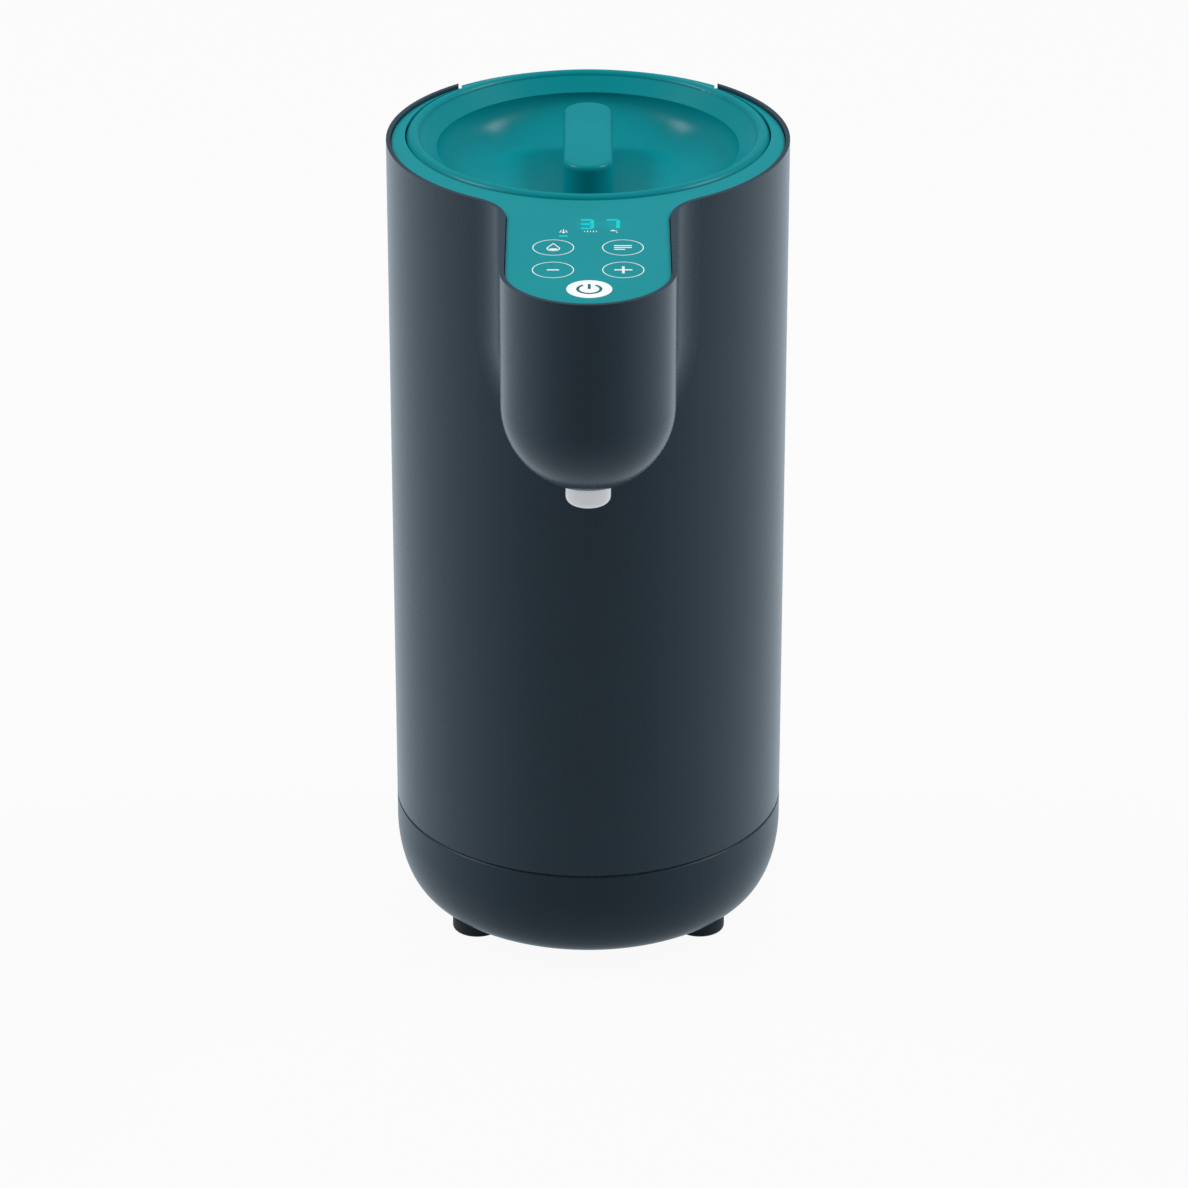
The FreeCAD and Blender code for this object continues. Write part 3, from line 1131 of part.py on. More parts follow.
def main():
    os.makedirs("parts", exist_ok=True)
    save("outer_shell", make_outer_shell())
    save("base_cap", make_base_cap())
    for (x, y), name in zip(foot_spots(), ("front_left", "rear_left", "front_right", "rear_right")):
        save("foot_" + name, make_foot(x, y))
    save("control_deck", make_control_deck())
    save("deck_screws", make_deck_screws())
    save("touch_board", make_touch_board())
    save("touch_board_screws", make_touch_screws())
    save("touch_pads", make_touch_pads())
    save("led_display", make_led_display())
    save("tank_lid", make_tank_lid())
    save("lid_seal", make_lid_seal())
    save("lid_inner_plate", make_lid_inner_plate())
    save("water_tank", make_water_tank())
    save("valve_seat", make_valve_seat())
    save("valve_poppet", make_valve_poppet())
    save("valve_seal", make_valve_seal())
    save("valve_spring", make_valve_spring())
    save("valve_cage", make_valve_cage())
    save("inlet_filter", make_inlet_filter())
    save("float_guide", make_float_guide())
    save("level_float", make_level_float())
    save("float_magnet", magnet_ring())
    save("tank_cradle", make_tank_cradle())
    save("socket_gasket", make_socket_gasket())
    save("level_sensor", make_level_sensor())
    save("base_screws", make_base_screws())
    save("spout_nozzle", make_spout_nozzle())
    save("spout_elbow", make_spout_elbow())
    save("pump_head", make_pump_head())
    save("pump_motor", make_pump_motor())
    save("pump_rotor", make_pump_rotor())
    save("pump_mounts", make_pump_mounts())
    save("heater_body", make_heater_body())
    save("heater_bracket", make_heater_bracket())
    save("thermal_cutouts", make_thermal_cutouts())
    save("temperature_sensor", make_temperature_sensor())
    save("tank_hose", make_tank_hose())
    save("heater_hose", make_heater_hose())
    save("spout_hose", make_spout_hose())
    save("wire_harness", make_wire_harness())
    save("power_board", make_power_board())
    save("board_parts", make_board_parts())
    save("board_screws", make_board_screws())
    save("power_inlet", make_power_inlet())


main()
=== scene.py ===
import logging
import math
from collections.abc import Callable, Iterable
from dataclasses import dataclass
from enum import Enum
from typing import ClassVar

import bmesh
import bpy
from mathutils import Matrix, Vector


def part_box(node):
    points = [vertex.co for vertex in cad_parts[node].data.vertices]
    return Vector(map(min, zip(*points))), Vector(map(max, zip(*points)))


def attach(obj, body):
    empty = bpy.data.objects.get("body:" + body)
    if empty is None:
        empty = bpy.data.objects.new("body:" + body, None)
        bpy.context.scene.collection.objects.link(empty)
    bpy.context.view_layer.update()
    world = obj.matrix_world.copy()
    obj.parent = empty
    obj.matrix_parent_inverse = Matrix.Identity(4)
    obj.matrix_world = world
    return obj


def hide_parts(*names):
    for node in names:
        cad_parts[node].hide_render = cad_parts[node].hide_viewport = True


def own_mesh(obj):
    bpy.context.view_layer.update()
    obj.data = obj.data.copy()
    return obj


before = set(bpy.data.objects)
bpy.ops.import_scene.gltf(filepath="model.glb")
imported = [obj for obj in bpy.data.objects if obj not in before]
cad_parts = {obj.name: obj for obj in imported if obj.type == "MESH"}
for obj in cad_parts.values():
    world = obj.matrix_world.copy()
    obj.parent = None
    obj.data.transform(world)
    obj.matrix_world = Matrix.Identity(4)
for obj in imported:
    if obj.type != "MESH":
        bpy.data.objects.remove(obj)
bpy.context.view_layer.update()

log = logging.getLogger("formula_maker")

FULL_TURN = 2.0 * math.pi
TOWARDS_USER = -FULL_TURN / 4.0     # the way to -Y, as an angle from +X
SHARP_TURN = math.radians(35)       # edges of a new piece that turn more than this stay sharp
SUNK = 0.00006                      # how far a printed mark reaches into the surface under it
PRINT_T = 0.00005                   # how far it stands above that surface

MOTTLE = 0.03                       # how much a moulding's colour varies, as a share of it
SPREAD = 0.05                       # how much its roughness varies
GRAIN_SCALE = 1500.0                # scale of its fine grain
GRAIN_DETAIL = 2.0
BROAD_SCALE = 26.0                  # scale of its slow unevenness
BROAD_DETAIL = 3.0
BROAD_SPAN = (0.3, 0.7)             # noise between which the colour runs from dark to light
GRAIN_INPUTS = {"Colour": "NodeSocketColor", "Mottle": "NodeSocketFloat",
                "Roughness": "NodeSocketFloat", "Spread": "NodeSocketFloat",
                "Scale": "NodeSocketFloat"}
GRAIN_OUTPUTS = {"Colour": "NodeSocketColor", "Roughness": "NodeSocketFloat",
                 "Height": "NodeSocketFloat"}


class Body(Enum):
    """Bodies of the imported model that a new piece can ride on."""

    HOUSING = "housing"
    TANK = "tank"


class Slot(Enum):
    """Kinds of material, each with its finish in FINISHES."""

    SHELL = "slate_shell"
    BASE = "slate_base"
    DECK = "teal_deck"
    LID = "teal_lid"
    NOZZLE = "white_nozzle"
    FOOT = "foot_rubber"
    TANK = "clear_tank"
    WHITE = "white_part"
    BLACK = "black_part"
    SILICONE = "silicone"
    STEEL = "steel"
    ALLOY = "alloy"
    BOARD = "board"
    MAGNET = "magnet"
    DISPLAY = "display"
    WIRE = "wire"


class Segment(Enum):
    """Bars of a seven-segment digit: half widths across, quarter heights up, and if it lies."""

    TOP = (0, 2, True)
    MIDDLE = (0, 0, True)
    BOTTOM = (0, -2, True)
    UPPER_RIGHT = (1, 1, False)
    LOWER_RIGHT = (1, -1, False)


class Digit(Enum):
    """The digits that the display shows, as the bars that are lit."""

    THREE = (Segment.TOP, Segment.MIDDLE, Segment.BOTTOM, Segment.UPPER_RIGHT,
             Segment.LOWER_RIGHT)
    SEVEN = (Segment.TOP, Segment.UPPER_RIGHT, Segment.LOWER_RIGHT)


Colour = tuple[float, float, float]
Point = tuple[float, float, float]
Source = bpy.types.NodeSocket | float | tuple[float, ...]
Mark = Callable[[bmesh.types.BMesh, float, float], None]


@dataclass(frozen=True)
class Wiring:
    """A shader node tree, with short ways to add nodes and join them."""

    tree: bpy.types.NodeTree

    def add(self, kind: str) -> bpy.types.Node:
        """Add a node of a kind."""
        return self.tree.nodes.new(kind)

    def feed(self, socket: bpy.types.NodeSocket, source: Source) -> None:
        """Join a source to an input, or set the input when the source is a plain value.

        Args:
            socket: the input.
            source: an output, a number or a colour.
        """
        if isinstance(source, bpy.types.NodeSocket):
            self.tree.links.new(source, socket)
        else:
            socket.default_value = source

    def maths(self, operation: str, *terms: Source) -> bpy.types.NodeSocket:
        """Work out a number from others.

        Args:
            operation: name of the Math node's operation.
            terms: its inputs in order.

        Returns:
            The result.
        """
        node = self.add("ShaderNodeMath")
        node.operation = operation
        for socket, term in zip(node.inputs, terms):
            self.feed(socket, term)
        return node.outputs[0]

    def vector(self, operation: str, *terms: Source) -> bpy.types.Node:
        """Add a Vector Math node.

        Args:
            operation: name of its operation.
            terms: its vector inputs in order.

        Returns:
            The node.
        """
        node = self.add("ShaderNodeVectorMath")
        node.operation = operation
        for socket, term in zip(node.inputs, terms):
            self.feed(socket, term)
        return node

    def graded(self, value: Source, span: tuple[float, float], low: Source,
               high: Source) -> bpy.types.NodeSocket:
        """Grade a value from one span to another, held at both ends.

        Args:
            value: what is graded.
            span: where the grading starts and ends.
            low: result at the start.
            high: result at the end.

        Returns:
            The graded value.
        """
        node = self.add("ShaderNodeMapRange")
        self.feed(node.inputs["Value"], value)
        node.inputs["From Min"].default_value, node.inputs["From Max"].default_value = span
        self.feed(node.inputs["To Min"], low)
        self.feed(node.inputs["To Max"], high)
        return node.outputs["Result"]

    def choose(self, kind: str, mask: Source, otherwise: Source,
               value: Source) -> bpy.types.NodeSocket:
        """Pass on a value where a mask is 1, and another where it is 0.

        Args:
            kind: data type of the Mix node.
            mask: the mask.
            otherwise: what passes where the mask is 0.
            value: what passes where it is 1.

        Returns:
            The chosen value.
        """
        node = self.add("ShaderNodeMix")
        node.data_type = kind
        sockets = [socket for socket in node.inputs if socket.enabled]
        for socket, source in zip(sockets, (mask, otherwise, value)):
            self.feed(socket, source)
        return next(socket for socket in node.outputs if socket.enabled)


def moulded_grain() -> bpy.types.NodeTree:
    """Give the node group for the fine grain and slow unevenness of a moulding, built once.

    Returns:
        A group that turns a colour and a roughness into ones that vary, and gives a height.
    """
    name = "moulded grain"
    if name in bpy.data.node_groups:
        return bpy.data.node_groups[name]
    tree = bpy.data.node_groups.new(name, "ShaderNodeTree")
    for way, sockets in (("INPUT", GRAIN_INPUTS), ("OUTPUT", GRAIN_OUTPUTS)):
        for label, kind in sockets.items():
            tree.interface.new_socket(name=label, in_out=way, socket_type=kind)
    wiring = Wiring(tree)
    given, made = wiring.add("NodeGroupInput").outputs, wiring.add("NodeGroupOutput").inputs
    place = wiring.add("ShaderNodeTexCoord").outputs["Object"]
    noises = {}
    for use, scale, detail in (("fine", given["Scale"], GRAIN_DETAIL),
                               ("broad", BROAD_SCALE, BROAD_DETAIL)):
        noise = wiring.add("ShaderNodeTexNoise")
        wiring.feed(noise.inputs["Vector"], place)
        wiring.feed(noise.inputs["Scale"], scale)
        wiring.feed(noise.inputs["Detail"], detail)
        noises[use] = noise.outputs["Fac"]
    darkest = wiring.maths("SUBTRACT", 1.0, given["Mottle"])
    lightest = wiring.maths("ADD", 1.0, given["Mottle"])
    shade = wiring.graded(noises["broad"], BROAD_SPAN, darkest, lightest)
    tint = wiring.vector("SCALE", given["Colour"])
    wiring.feed(tint.inputs["Scale"], shade)
    wiring.feed(made["Colour"], tint.outputs["Vector"])
    rough = wiring.maths("MULTIPLY_ADD", noises["fine"], given["Spread"], given["Roughness"])
    wiring.feed(made["Roughness"], rough)
    wiring.feed(made["Height"], noises["fine"])
    return tree


def start_material(name: str, colour: Colour) -> tuple[bpy.types.Material, Wiring]:
    """Start a material of shader nodes.

    Args:
        name: its name.
        colour: its plain colour.

    Returns:
        The material and the wiring of its nodes.
    """
    made = bpy.data.materials.new(name)
    made.use_nodes = True
    made.diffuse_color = (*colour, 1.0)
    return made, Wiring(made.node_tree)


def add_grain(wiring: Wiring, colour: Colour, roughness: float, mottle: float = MOTTLE,
              spread: float = SPREAD,
              scale: float = GRAIN_SCALE) -> bpy.types.bpy_prop_collection:
    """Place the grain group in a material.

    Args:
        wiring: the material's wiring.
        colour: the colour that it varies.
        roughness: middle of the roughness.
        mottle: how much the colour varies, as a share of it.
        spread: how much the roughness varies.
        scale: scale of the grain.

    Returns:
        The group's outputs.
    """
    grain = wiring.add("ShaderNodeGroup")
    grain.node_tree = moulded_grain()
    values = {"Colour": (*colour, 1.0), "Mottle": mottle, "Roughness": roughness - spread / 2.0,
              "Spread": spread, "Scale": scale}
    for label, value in values.items():
        wiring.feed(grain.inputs[label], value)
    return grain.outputs


@dataclass(frozen=True)
class Finish:
    """One opaque finish: a moulding, rubber, metal, board or lamp."""

    name: str
    colour: Colour
    roughness: float
    metallic: float = 0.0
    specular: float = 0.5
    coat: float = 0.0
    mottle: float = MOTTLE
    spread: float = SPREAD
    grain_scale: float = GRAIN_SCALE
    grain_depth: float = 0.000006
    # how strongly it shines: real light on the LEDs and lit deck, painted glow on the nozzle and white print
    glow: float = 0.0

    def material(self) -> bpy.types.Material:
        """Give this finish's material, built on first use.

        Returns:
            The material.
        """
        if self.name in bpy.data.materials:
            return bpy.data.materials[self.name]
        made, wiring = start_material(self.name, self.colour)
        shader = made.node_tree.nodes["Principled BSDF"].inputs
        shader["Metallic"].default_value = self.metallic
        shader["Specular IOR Level"].default_value = self.specular
        shader["Coat Weight"].default_value = self.coat
        shader["Emission Strength"].default_value = self.glow
        grain = add_grain(wiring, self.colour, self.roughness, self.mottle, self.spread,
                          self.grain_scale)
        bump = wiring.add("ShaderNodeBump")
        bump.inputs["Distance"].default_value = self.grain_depth
        wiring.feed(bump.inputs["Height"], grain["Height"])
        wiring.feed(shader["Base Color"], grain["Colour"])
        wiring.feed(shader["Roughness"], grain["Roughness"])
        wiring.feed(shader["Normal"], bump.outputs["Normal"])
        wiring.feed(shader["Emission Color"], self.emission(wiring))
        return made

    def emission(self, wiring: Wiring) -> Source:
        """Give the colour that the finish shines with.

        Args:
            wiring: the material's wiring, for a finish that shines in places only.

        Returns:
            The finish's own colour.
        """
        return (*self.colour, 1.0)


@dataclass(frozen=True)
class LitFinish(Finish):
    """A moulding that lamps behind it shine through, softly, in a few places."""

    lamps: tuple[Point, ...] = ()
    reach: Point = (0.0065, 0.0085, 0.01)
    fade: tuple[float, float] = (0.2, 1.0)    # shares of the reach between which the light fades
    falloff: float = 2.0                      # power that rounds the fading off
    light: Colour = (0.0, 1.0, 1.0)

    def emission(self, wiring: Wiring) -> Source:
        """Give a light that fades away from each lamp.

        Args:
            wiring: the material's wiring.

        Returns:
            The colour that shines through.
        """
        place = wiring.add("ShaderNodeTexCoord").outputs["Object"]
        total: Source = 0.0
        for lamp in self.lamps:
            away = wiring.vector("SUBTRACT", place, lamp).outputs["Vector"]
            share = wiring.vector("DIVIDE", away, self.reach).outputs["Vector"]
            far = wiring.vector("LENGTH", share).outputs["Value"]
            total = wiring.maths("ADD", total, wiring.graded(far, self.fade, 1.0, 0.0))
        shine = wiring.vector("SCALE", self.light)
        wiring.feed(shine.inputs["Scale"], wiring.maths("POWER", total, self.falloff))
        return shine.outputs["Vector"]


@dataclass(frozen=True)
class ClearFinish:
    """A clear moulding that light passes through."""

    name: str
    colour: Colour
    roughness: float = 0.075
    spread: float = 0.03
    ior: float = 1.49

    def material(self) -> bpy.types.Material:
        """Give this finish's material, built on first use.

        Returns:
            The material.
        """
        if self.name in bpy.data.materials:
            return bpy.data.materials[self.name]
        made, wiring = start_material(self.name, self.colour)
        shader = made.node_tree.nodes["Principled BSDF"].inputs
        shader["Transmission Weight"].default_value = 1.0
        shader["IOR"].default_value = self.ior
        grain = add_grain(wiring, self.colour, self.roughness, spread=self.spread)
        wiring.feed(shader["Base Color"], grain["Colour"])
        wiring.feed(shader["Roughness"], grain["Roughness"])
        return made


SMOOTH_GRAIN = 0.000003             # depth of the grain of the smoother mouldings
COARSE_GRAIN = 0.00003              # depth of the grain of rubber and cast pieces
DIGIT_X = {Digit.THREE: -0.0006, Digit.SEVEN: 0.0090}
DIGIT_Y = -0.0880
SYMBOL_X = {"warm": -0.0091, "scale": 0.0009, "pour": 0.0098}
DECK_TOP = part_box("control_deck")[1].z

FINISHES: dict[Slot, Finish | ClearFinish] = {
    Slot.SHELL: Finish("fine matt slate", (0.030, 0.061, 0.090), roughness=0.27,
                       specular=0.6),
    Slot.BASE: Finish("matt slate", (0.030, 0.057, 0.083), roughness=0.32, specular=0.36),
    Slot.DECK: LitFinish("satin teal", (0.002, 0.325, 0.366), roughness=0.34, specular=0.22,
                         grain_depth=SMOOTH_GRAIN, glow=0.06,
                         lamps=tuple((x, DIGIT_Y, DECK_TOP) for x in DIGIT_X.values())),
    Slot.LID: Finish("deep teal", (0.0003, 0.300, 0.342), roughness=0.30, specular=0.14,
                     grain_depth=SMOOTH_GRAIN),
    # painted glow: the nozzle shines a little so it stays bright in the shade under the spout housing
    Slot.NOZZLE: Finish("smooth white", (0.92, 0.95, 0.98), roughness=0.28, mottle=0.01,
                        grain_depth=SMOOTH_GRAIN, glow=0.24),
    Slot.FOOT: Finish("soft rubber", (0.040, 0.055, 0.068), roughness=0.6, specular=0.3,
                      grain_depth=COARSE_GRAIN),
    Slot.TANK: ClearFinish("clear moulding", (0.80, 0.90, 0.94)),
    Slot.WHITE: Finish("plain white", (0.78, 0.80, 0.80), roughness=0.45, mottle=0.015),
    Slot.BLACK: Finish("plain black", (0.020, 0.021, 0.023), roughness=0.5, specular=0.4),
    Slot.SILICONE: Finish("milky silicone", (0.72, 0.76, 0.77), roughness=0.5, specular=0.35,
                          mottle=0.02),
    Slot.STEEL: Finish("drawn steel", (0.60, 0.61, 0.62), roughness=0.28, metallic=1.0,
                       spread=0.12),
    Slot.ALLOY: Finish("cast alloy", (0.62, 0.63, 0.64), roughness=0.5, metallic=1.0,
                       spread=0.2, grain_scale=900.0, grain_depth=COARSE_GRAIN),
    Slot.BOARD: Finish("board lacquer", (0.010, 0.150, 0.060), roughness=0.35, coat=0.4,
                       mottle=0.12),
    Slot.MAGNET: Finish("dark ferrite", (0.06, 0.06, 0.065), roughness=0.55,
                        grain_depth=COARSE_GRAIN),
    Slot.DISPLAY: Finish("display glass", (0.010, 0.010, 0.012), roughness=0.12, coat=0.6),
    Slot.WIRE: Finish("wire jacket", (0.42, 0.03, 0.02), roughness=0.45),
}
# white print with painted glow: it shines a little on the keys, the symbols and the tank's level marks alike
PRINT_WHITE_PAINTED_GLOW = Finish("print_white", (0.91, 0.95, 0.96), roughness=0.5, mottle=0.0, glow=0.18)
PRINT_TEAL = Finish("print_teal", (0.006, 0.170, 0.200), roughness=0.45, mottle=0.0)
LED_CYAN = Finish("led_cyan", (0.0, 0.56, 0.59), roughness=0.5, specular=0.2, mottle=0.0,
                  glow=0.28)


def dress(node: str, finish: Finish | ClearFinish) -> None:
    """Give a carried-over node its material.

    Args:
        node: name of the node.
        finish: what it gets.
    """
    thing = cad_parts[node]
    if not thing.material_slots:
        thing.data.materials.append(finish.material())
    for holder in thing.material_slots:
        holder.material = finish.material()


def finish_piece(bm: bmesh.types.BMesh, name: str, finish: Finish | ClearFinish, body: Body) -> bpy.types.Object:
    """Turn a bmesh into a finished piece that rides on a body.

    Args:
        bm: the shape, in metres in the model's frame; it is freed.
        name: name of the piece.
        finish: its finish.
        body: the body that carries it.

    Returns:
        The new object.
    """
    bmesh.ops.recalc_face_normals(bm, faces=bm.faces)
    for face in bm.faces:
        face.smooth = True
    for edge in bm.edges:
        edge.smooth = edge.calc_face_angle(0.0) < SHARP_TURN
    mesh = bpy.data.meshes.new(name)
    bm.to_mesh(mesh)
    bm.free()
    mesh.materials.append(finish.material())
    piece = bpy.data.objects.new(name, mesh)
    bpy.context.scene.collection.objects.link(piece)
    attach(piece, body.value)
    log.info("%s rides on %s", name, body.value)
    return piece


def add_disc(bm: bmesh.types.BMesh, x: float, y: float, radius: float, low: float, high: float,
             segments: int) -> None:
    """Add a closed round plate to a bmesh.

    Args:
        bm: the bmesh that gets it.
        x: its centre.
        y: its centre.
        radius: its radius.
        low: its underside.
        high: its top.
        segments: sides of its outline.
    """
    bmesh.ops.create_cone(bm, cap_ends=True, segments=segments, radius1=radius, radius2=radius,
                          depth=high - low, matrix=Matrix.Translation((x, y, (low + high) / 2.0)))


def add_bar(bm: bmesh.types.BMesh, x: float, y: float, width: float, length: float, low: float,
            high: float, turn: float = 0.0) -> None:
    """Add a flat bar, turned about its own middle, to a bmesh.

    Args:
        bm: the bmesh that gets it.
        x: its middle.
        y: its middle.
        width: its size along X before it is turned.
        length: its size along Y before it is turned.
        low: its underside.
        high: its top.
        turn: angle about the vertical, in radians.
    """
    place = (Matrix.Translation((x, y, (low + high) / 2.0)) @ Matrix.Rotation(turn, 4, "Z")
             @ Matrix.Diagonal((width, length, high - low, 1.0)))
    bmesh.ops.create_cube(bm, size=1.0, matrix=place)


def add_band(bm: bmesh.types.BMesh, x: float, y: float, radius: float, width: float, low: float,
             high: float, steps: int, start: float = 0.0, sweep: float = FULL_TURN) -> None:
    """Add a band of rectangular section that follows an arc.

    Args:
        bm: the bmesh that gets it.
        x: centre of the arc.
        y: centre of the arc.
        radius: middle of the band.
        width: width of the band.
        low: its underside.
        high: its top.
        steps: sections along the arc.
        start: where the arc starts, in radians from +X.
        sweep: how far it goes; a full turn closes on itself.
    """
    centre = Vector((x, y, 0.0))
    turn = Matrix.Rotation(start, 3, "Z")
    inner, outer = radius - width / 2.0, radius + width / 2.0
    corners = [bm.verts.new(centre + turn @ Vector((reach, 0.0, z)))
               for reach, z in ((inner, low), (outer, low), (outer, high), (inner, high))]
    section = corners + [bm.edges.new(pair) for pair in zip(corners, corners[1:] + corners[:1])]
    closed = sweep >= FULL_TURN
    if not closed:
        section.append(bm.faces.new(corners))
    bmesh.ops.spin(bm, geom=section, cent=centre, axis=(0.0, 0.0, 1.0), angle=sweep, steps=steps,
                   use_merge=closed)


class SubAssembly:
    """Carried-over nodes that belong together, with the new pieces that go on them."""

    nodes: ClassVar[dict[Slot, tuple[str, ...]]] = {}

    def build(self) -> None:
        """Dress the nodes, then add the new pieces."""
        for slot, nodes in self.nodes.items():
            for node in nodes:
                dress(node, FINISHES[slot])
        self.add_pieces()

    def add_pieces(self) -> None:
        """Add the new pieces; there are none unless a sub-assembly says so."""


class Housing(SubAssembly):
    """Shell, base, feet, tank cradle and the nozzle under the spout housing."""

    nodes = {Slot.SHELL: ("outer_shell",), Slot.BASE: ("base_cap",),
             Slot.FOOT: ("foot_front_left", "foot_rear_left", "foot_front_right",
                         "foot_rear_right"),
             Slot.STEEL: ("base_screws",), Slot.BLACK: ("tank_cradle",),
             Slot.NOZZLE: ("spout_nozzle",)}


@dataclass
class DeckPrint(SubAssembly):
    """Thin print on the control deck."""

    line_w: float = 0.00032
    low: float = DECK_TOP - SUNK
    high: float = DECK_TOP + PRINT_T

    def finish_print(self, bm: bmesh.types.BMesh, name: str, finish: Finish) -> None:
        """Make a printed piece of a bmesh, riding on the housing.

        Args:
            bm: its shape.
            name: name of the piece.
            finish: its finish.
        """
        finish_piece(bm, name, finish, Body.HOUSING)


@dataclass
class ControlPanel(DeckPrint):
    """Teal deck with its printed keys and lit display."""

    nodes = {Slot.DECK: ("control_deck",), Slot.STEEL: ("deck_screws", "touch_board_screws"),
             Slot.BOARD: ("touch_board",), Slot.BLACK: ("touch_pads",),
             Slot.DISPLAY: ("led_display",)}

    key_x: float = 0.0128
    key_ys: tuple[float, float] = (-0.1110, -0.1326)
    key_r: float = 0.0075
    stroke: float = 0.0009
    minus_l: float = 0.0044
    plus_l: float = 0.0066
    bar_w: float = 0.00072
    bar_pitch: float = 0.0018
    bar_shares: tuple[float, float, float] = (1.0, 1.0, 0.62)    # from the top, of plus_l
    drop_r: float = 0.0023
    drop_tip: float = 2.1          # height of the tip above the round part's centre, in radii
    drop_down: float = 0.4         # how far that centre lies below the key's, in radii
    drop_line: float = 1.3         # width of the outline, in line widths
    drop_fill: tuple[float, float] = (0.01, 0.75)    # the filling's inner and outer edge, in radii
    drop_fill_sweep: float = math.radians(160)
    power_at: tuple[float, float] = (0.0004, -0.1508)
    power_r: float = 0.0083
    power_line: float = 0.0011
    power_ring_r: float = 0.0042
    power_gap: float = math.radians(64)
    power_bar_l: float = 0.0046
    digit_w: float = 0.0042
    digit_h: float = 0.0084
    digit_line: float = 0.0014
    digit_gap: float = 0.0003
    lamp_y: float = -0.0998
    lamp_size: tuple[float, float] = (0.0032, 0.0014)

    def add_pieces(self) -> None:
        """Print the keys and light the digits."""
        self.print_keys()
        self.print_power()
        self.light_digits()

    def print_keys(self) -> None:
        """Ring the four keys and give each its mark."""
        upper, lower = self.key_ys
        marks: tuple[tuple[str, float, float, Mark], ...] = (
            ("key_volume", -self.key_x, upper, self.add_drop),
            ("key_mode", self.key_x, upper, self.add_three_bars),
            ("key_minus", -self.key_x, lower, self.add_minus),
            ("key_plus", self.key_x, lower, self.add_plus))
        for name, x, y, mark in marks:
            bm = bmesh.new()
            add_band(bm, x, y, self.key_r, self.line_w, self.low, self.high, steps=96)
            mark(bm, x, y)
            self.finish_print(bm, name, PRINT_WHITE_PAINTED_GLOW)

    def add_minus(self, bm: bmesh.types.BMesh, x: float, y: float) -> None:
        """Add the bar of the minus key.

        Args:
            bm: the bmesh that gets it.
            x: middle of the key.
            y: middle of the key.
        """
        add_bar(bm, x, y, self.minus_l, self.stroke, self.low, self.high)

    def add_plus(self, bm: bmesh.types.BMesh, x: float, y: float) -> None:
        """Add the cross of the plus key.

        Args:
            bm: the bmesh that gets it.
            x: middle of the key.
            y: middle of the key.
        """
        add_bar(bm, x, y, self.plus_l, self.stroke, self.low, self.high)
        arm = (self.plus_l - self.stroke) / 2.0
        for side in (-1.0, 1.0):
            add_bar(bm, x, y + side * (self.stroke + arm) / 2.0, self.stroke, arm, self.low,
                    self.high)

    def add_three_bars(self, bm: bmesh.types.BMesh, x: float, y: float) -> None:
        """Add three stacked bars, the last one short.

        Args:
            bm: the bmesh that gets it.
            x: middle of the key.
            y: middle of the key.
        """
        for step, share in zip((1.0, 0.0, -1.0), self.bar_shares):
            length = self.plus_l * share
            add_bar(bm, x - (self.plus_l - length) / 2.0, y + step * self.bar_pitch, length,
                    self.bar_w, self.low, self.high)

    def add_drop(self, bm: bmesh.types.BMesh, x: float, y: float) -> None:
        """Add an outlined drop, filled at the bottom.

        Args:
            bm: the bmesh that gets it.
            x: middle of the key.
            y: middle of the key.
        """
        radius = self.drop_r
        tip = self.drop_tip * radius
        centre_y = y - self.drop_down * radius
        line = self.line_w * self.drop_line
        lean = math.asin(radius / tip)
        add_band(bm, x, centre_y, radius, line, self.low, self.high, steps=40,
                 start=math.pi - lean, sweep=math.pi + 2.0 * lean)
        side_l = math.sqrt(tip * tip - radius * radius)
        for side in (-1.0, 1.0):
            touch = Vector((side * radius * math.cos(lean), radius * math.sin(lean)))
            middle = (touch + Vector((0.0, tip))) / 2.0
            add_bar(bm, x + middle.x, centre_y + middle.y, line, side_l + line, self.low,
                    self.high, turn=side * lean)
        inner, outer = self.drop_fill
        add_band(bm, x, centre_y, radius * (inner + outer) / 2.0, radius * (outer - inner),
                 self.low, self.high, steps=24, start=TOWARDS_USER - self.drop_fill_sweep / 2.0,
                 sweep=self.drop_fill_sweep)

    def print_power(self) -> None:
        """Print the white power key and its symbol."""
        x, y = self.power_at
        bm = bmesh.new()
        add_disc(bm, x, y, self.power_r, self.low, self.high, segments=96)
        self.finish_print(bm, "power_key", PRINT_WHITE_PAINTED_GLOW)
        bm = bmesh.new()
        low, high = self.high - SUNK / 2.0, self.high + PRINT_T / 2.0
        add_band(bm, x, y, self.power_ring_r, self.power_line, low, high, steps=72,
                 start=self.power_gap / 2.0 - TOWARDS_USER, sweep=FULL_TURN - self.power_gap)
        add_bar(bm, x, y + self.power_bar_l / 2.0, self.power_line, self.power_bar_l, low, high)
        self.finish_print(bm, "power_mark", PRINT_TEAL)

    def light_digits(self) -> None:
        """Light the two digits of the display and the bar under its left symbol."""
        half_w, quarter_h = self.digit_w / 2.0, self.digit_h / 4.0
        for digit, x in DIGIT_X.items():
            bm = bmesh.new()
            for segment in digit.value:
                across, up, lies = segment.value
                length = self.digit_w if lies else self.digit_h / 2.0 - self.digit_gap
                size = (length, self.digit_line) if lies else (self.digit_line, length)
                add_bar(bm, x + across * half_w, DIGIT_Y + up * quarter_h, *size, self.low,
                        self.high)
            self.finish_print(bm, f"digit_{digit.name.lower()}", LED_CYAN)
        bm = bmesh.new()
        add_bar(bm, SYMBOL_X["warm"], self.lamp_y, *self.lamp_size, self.low, self.high)
        self.finish_print(bm, "lamp_bar", LED_CYAN)


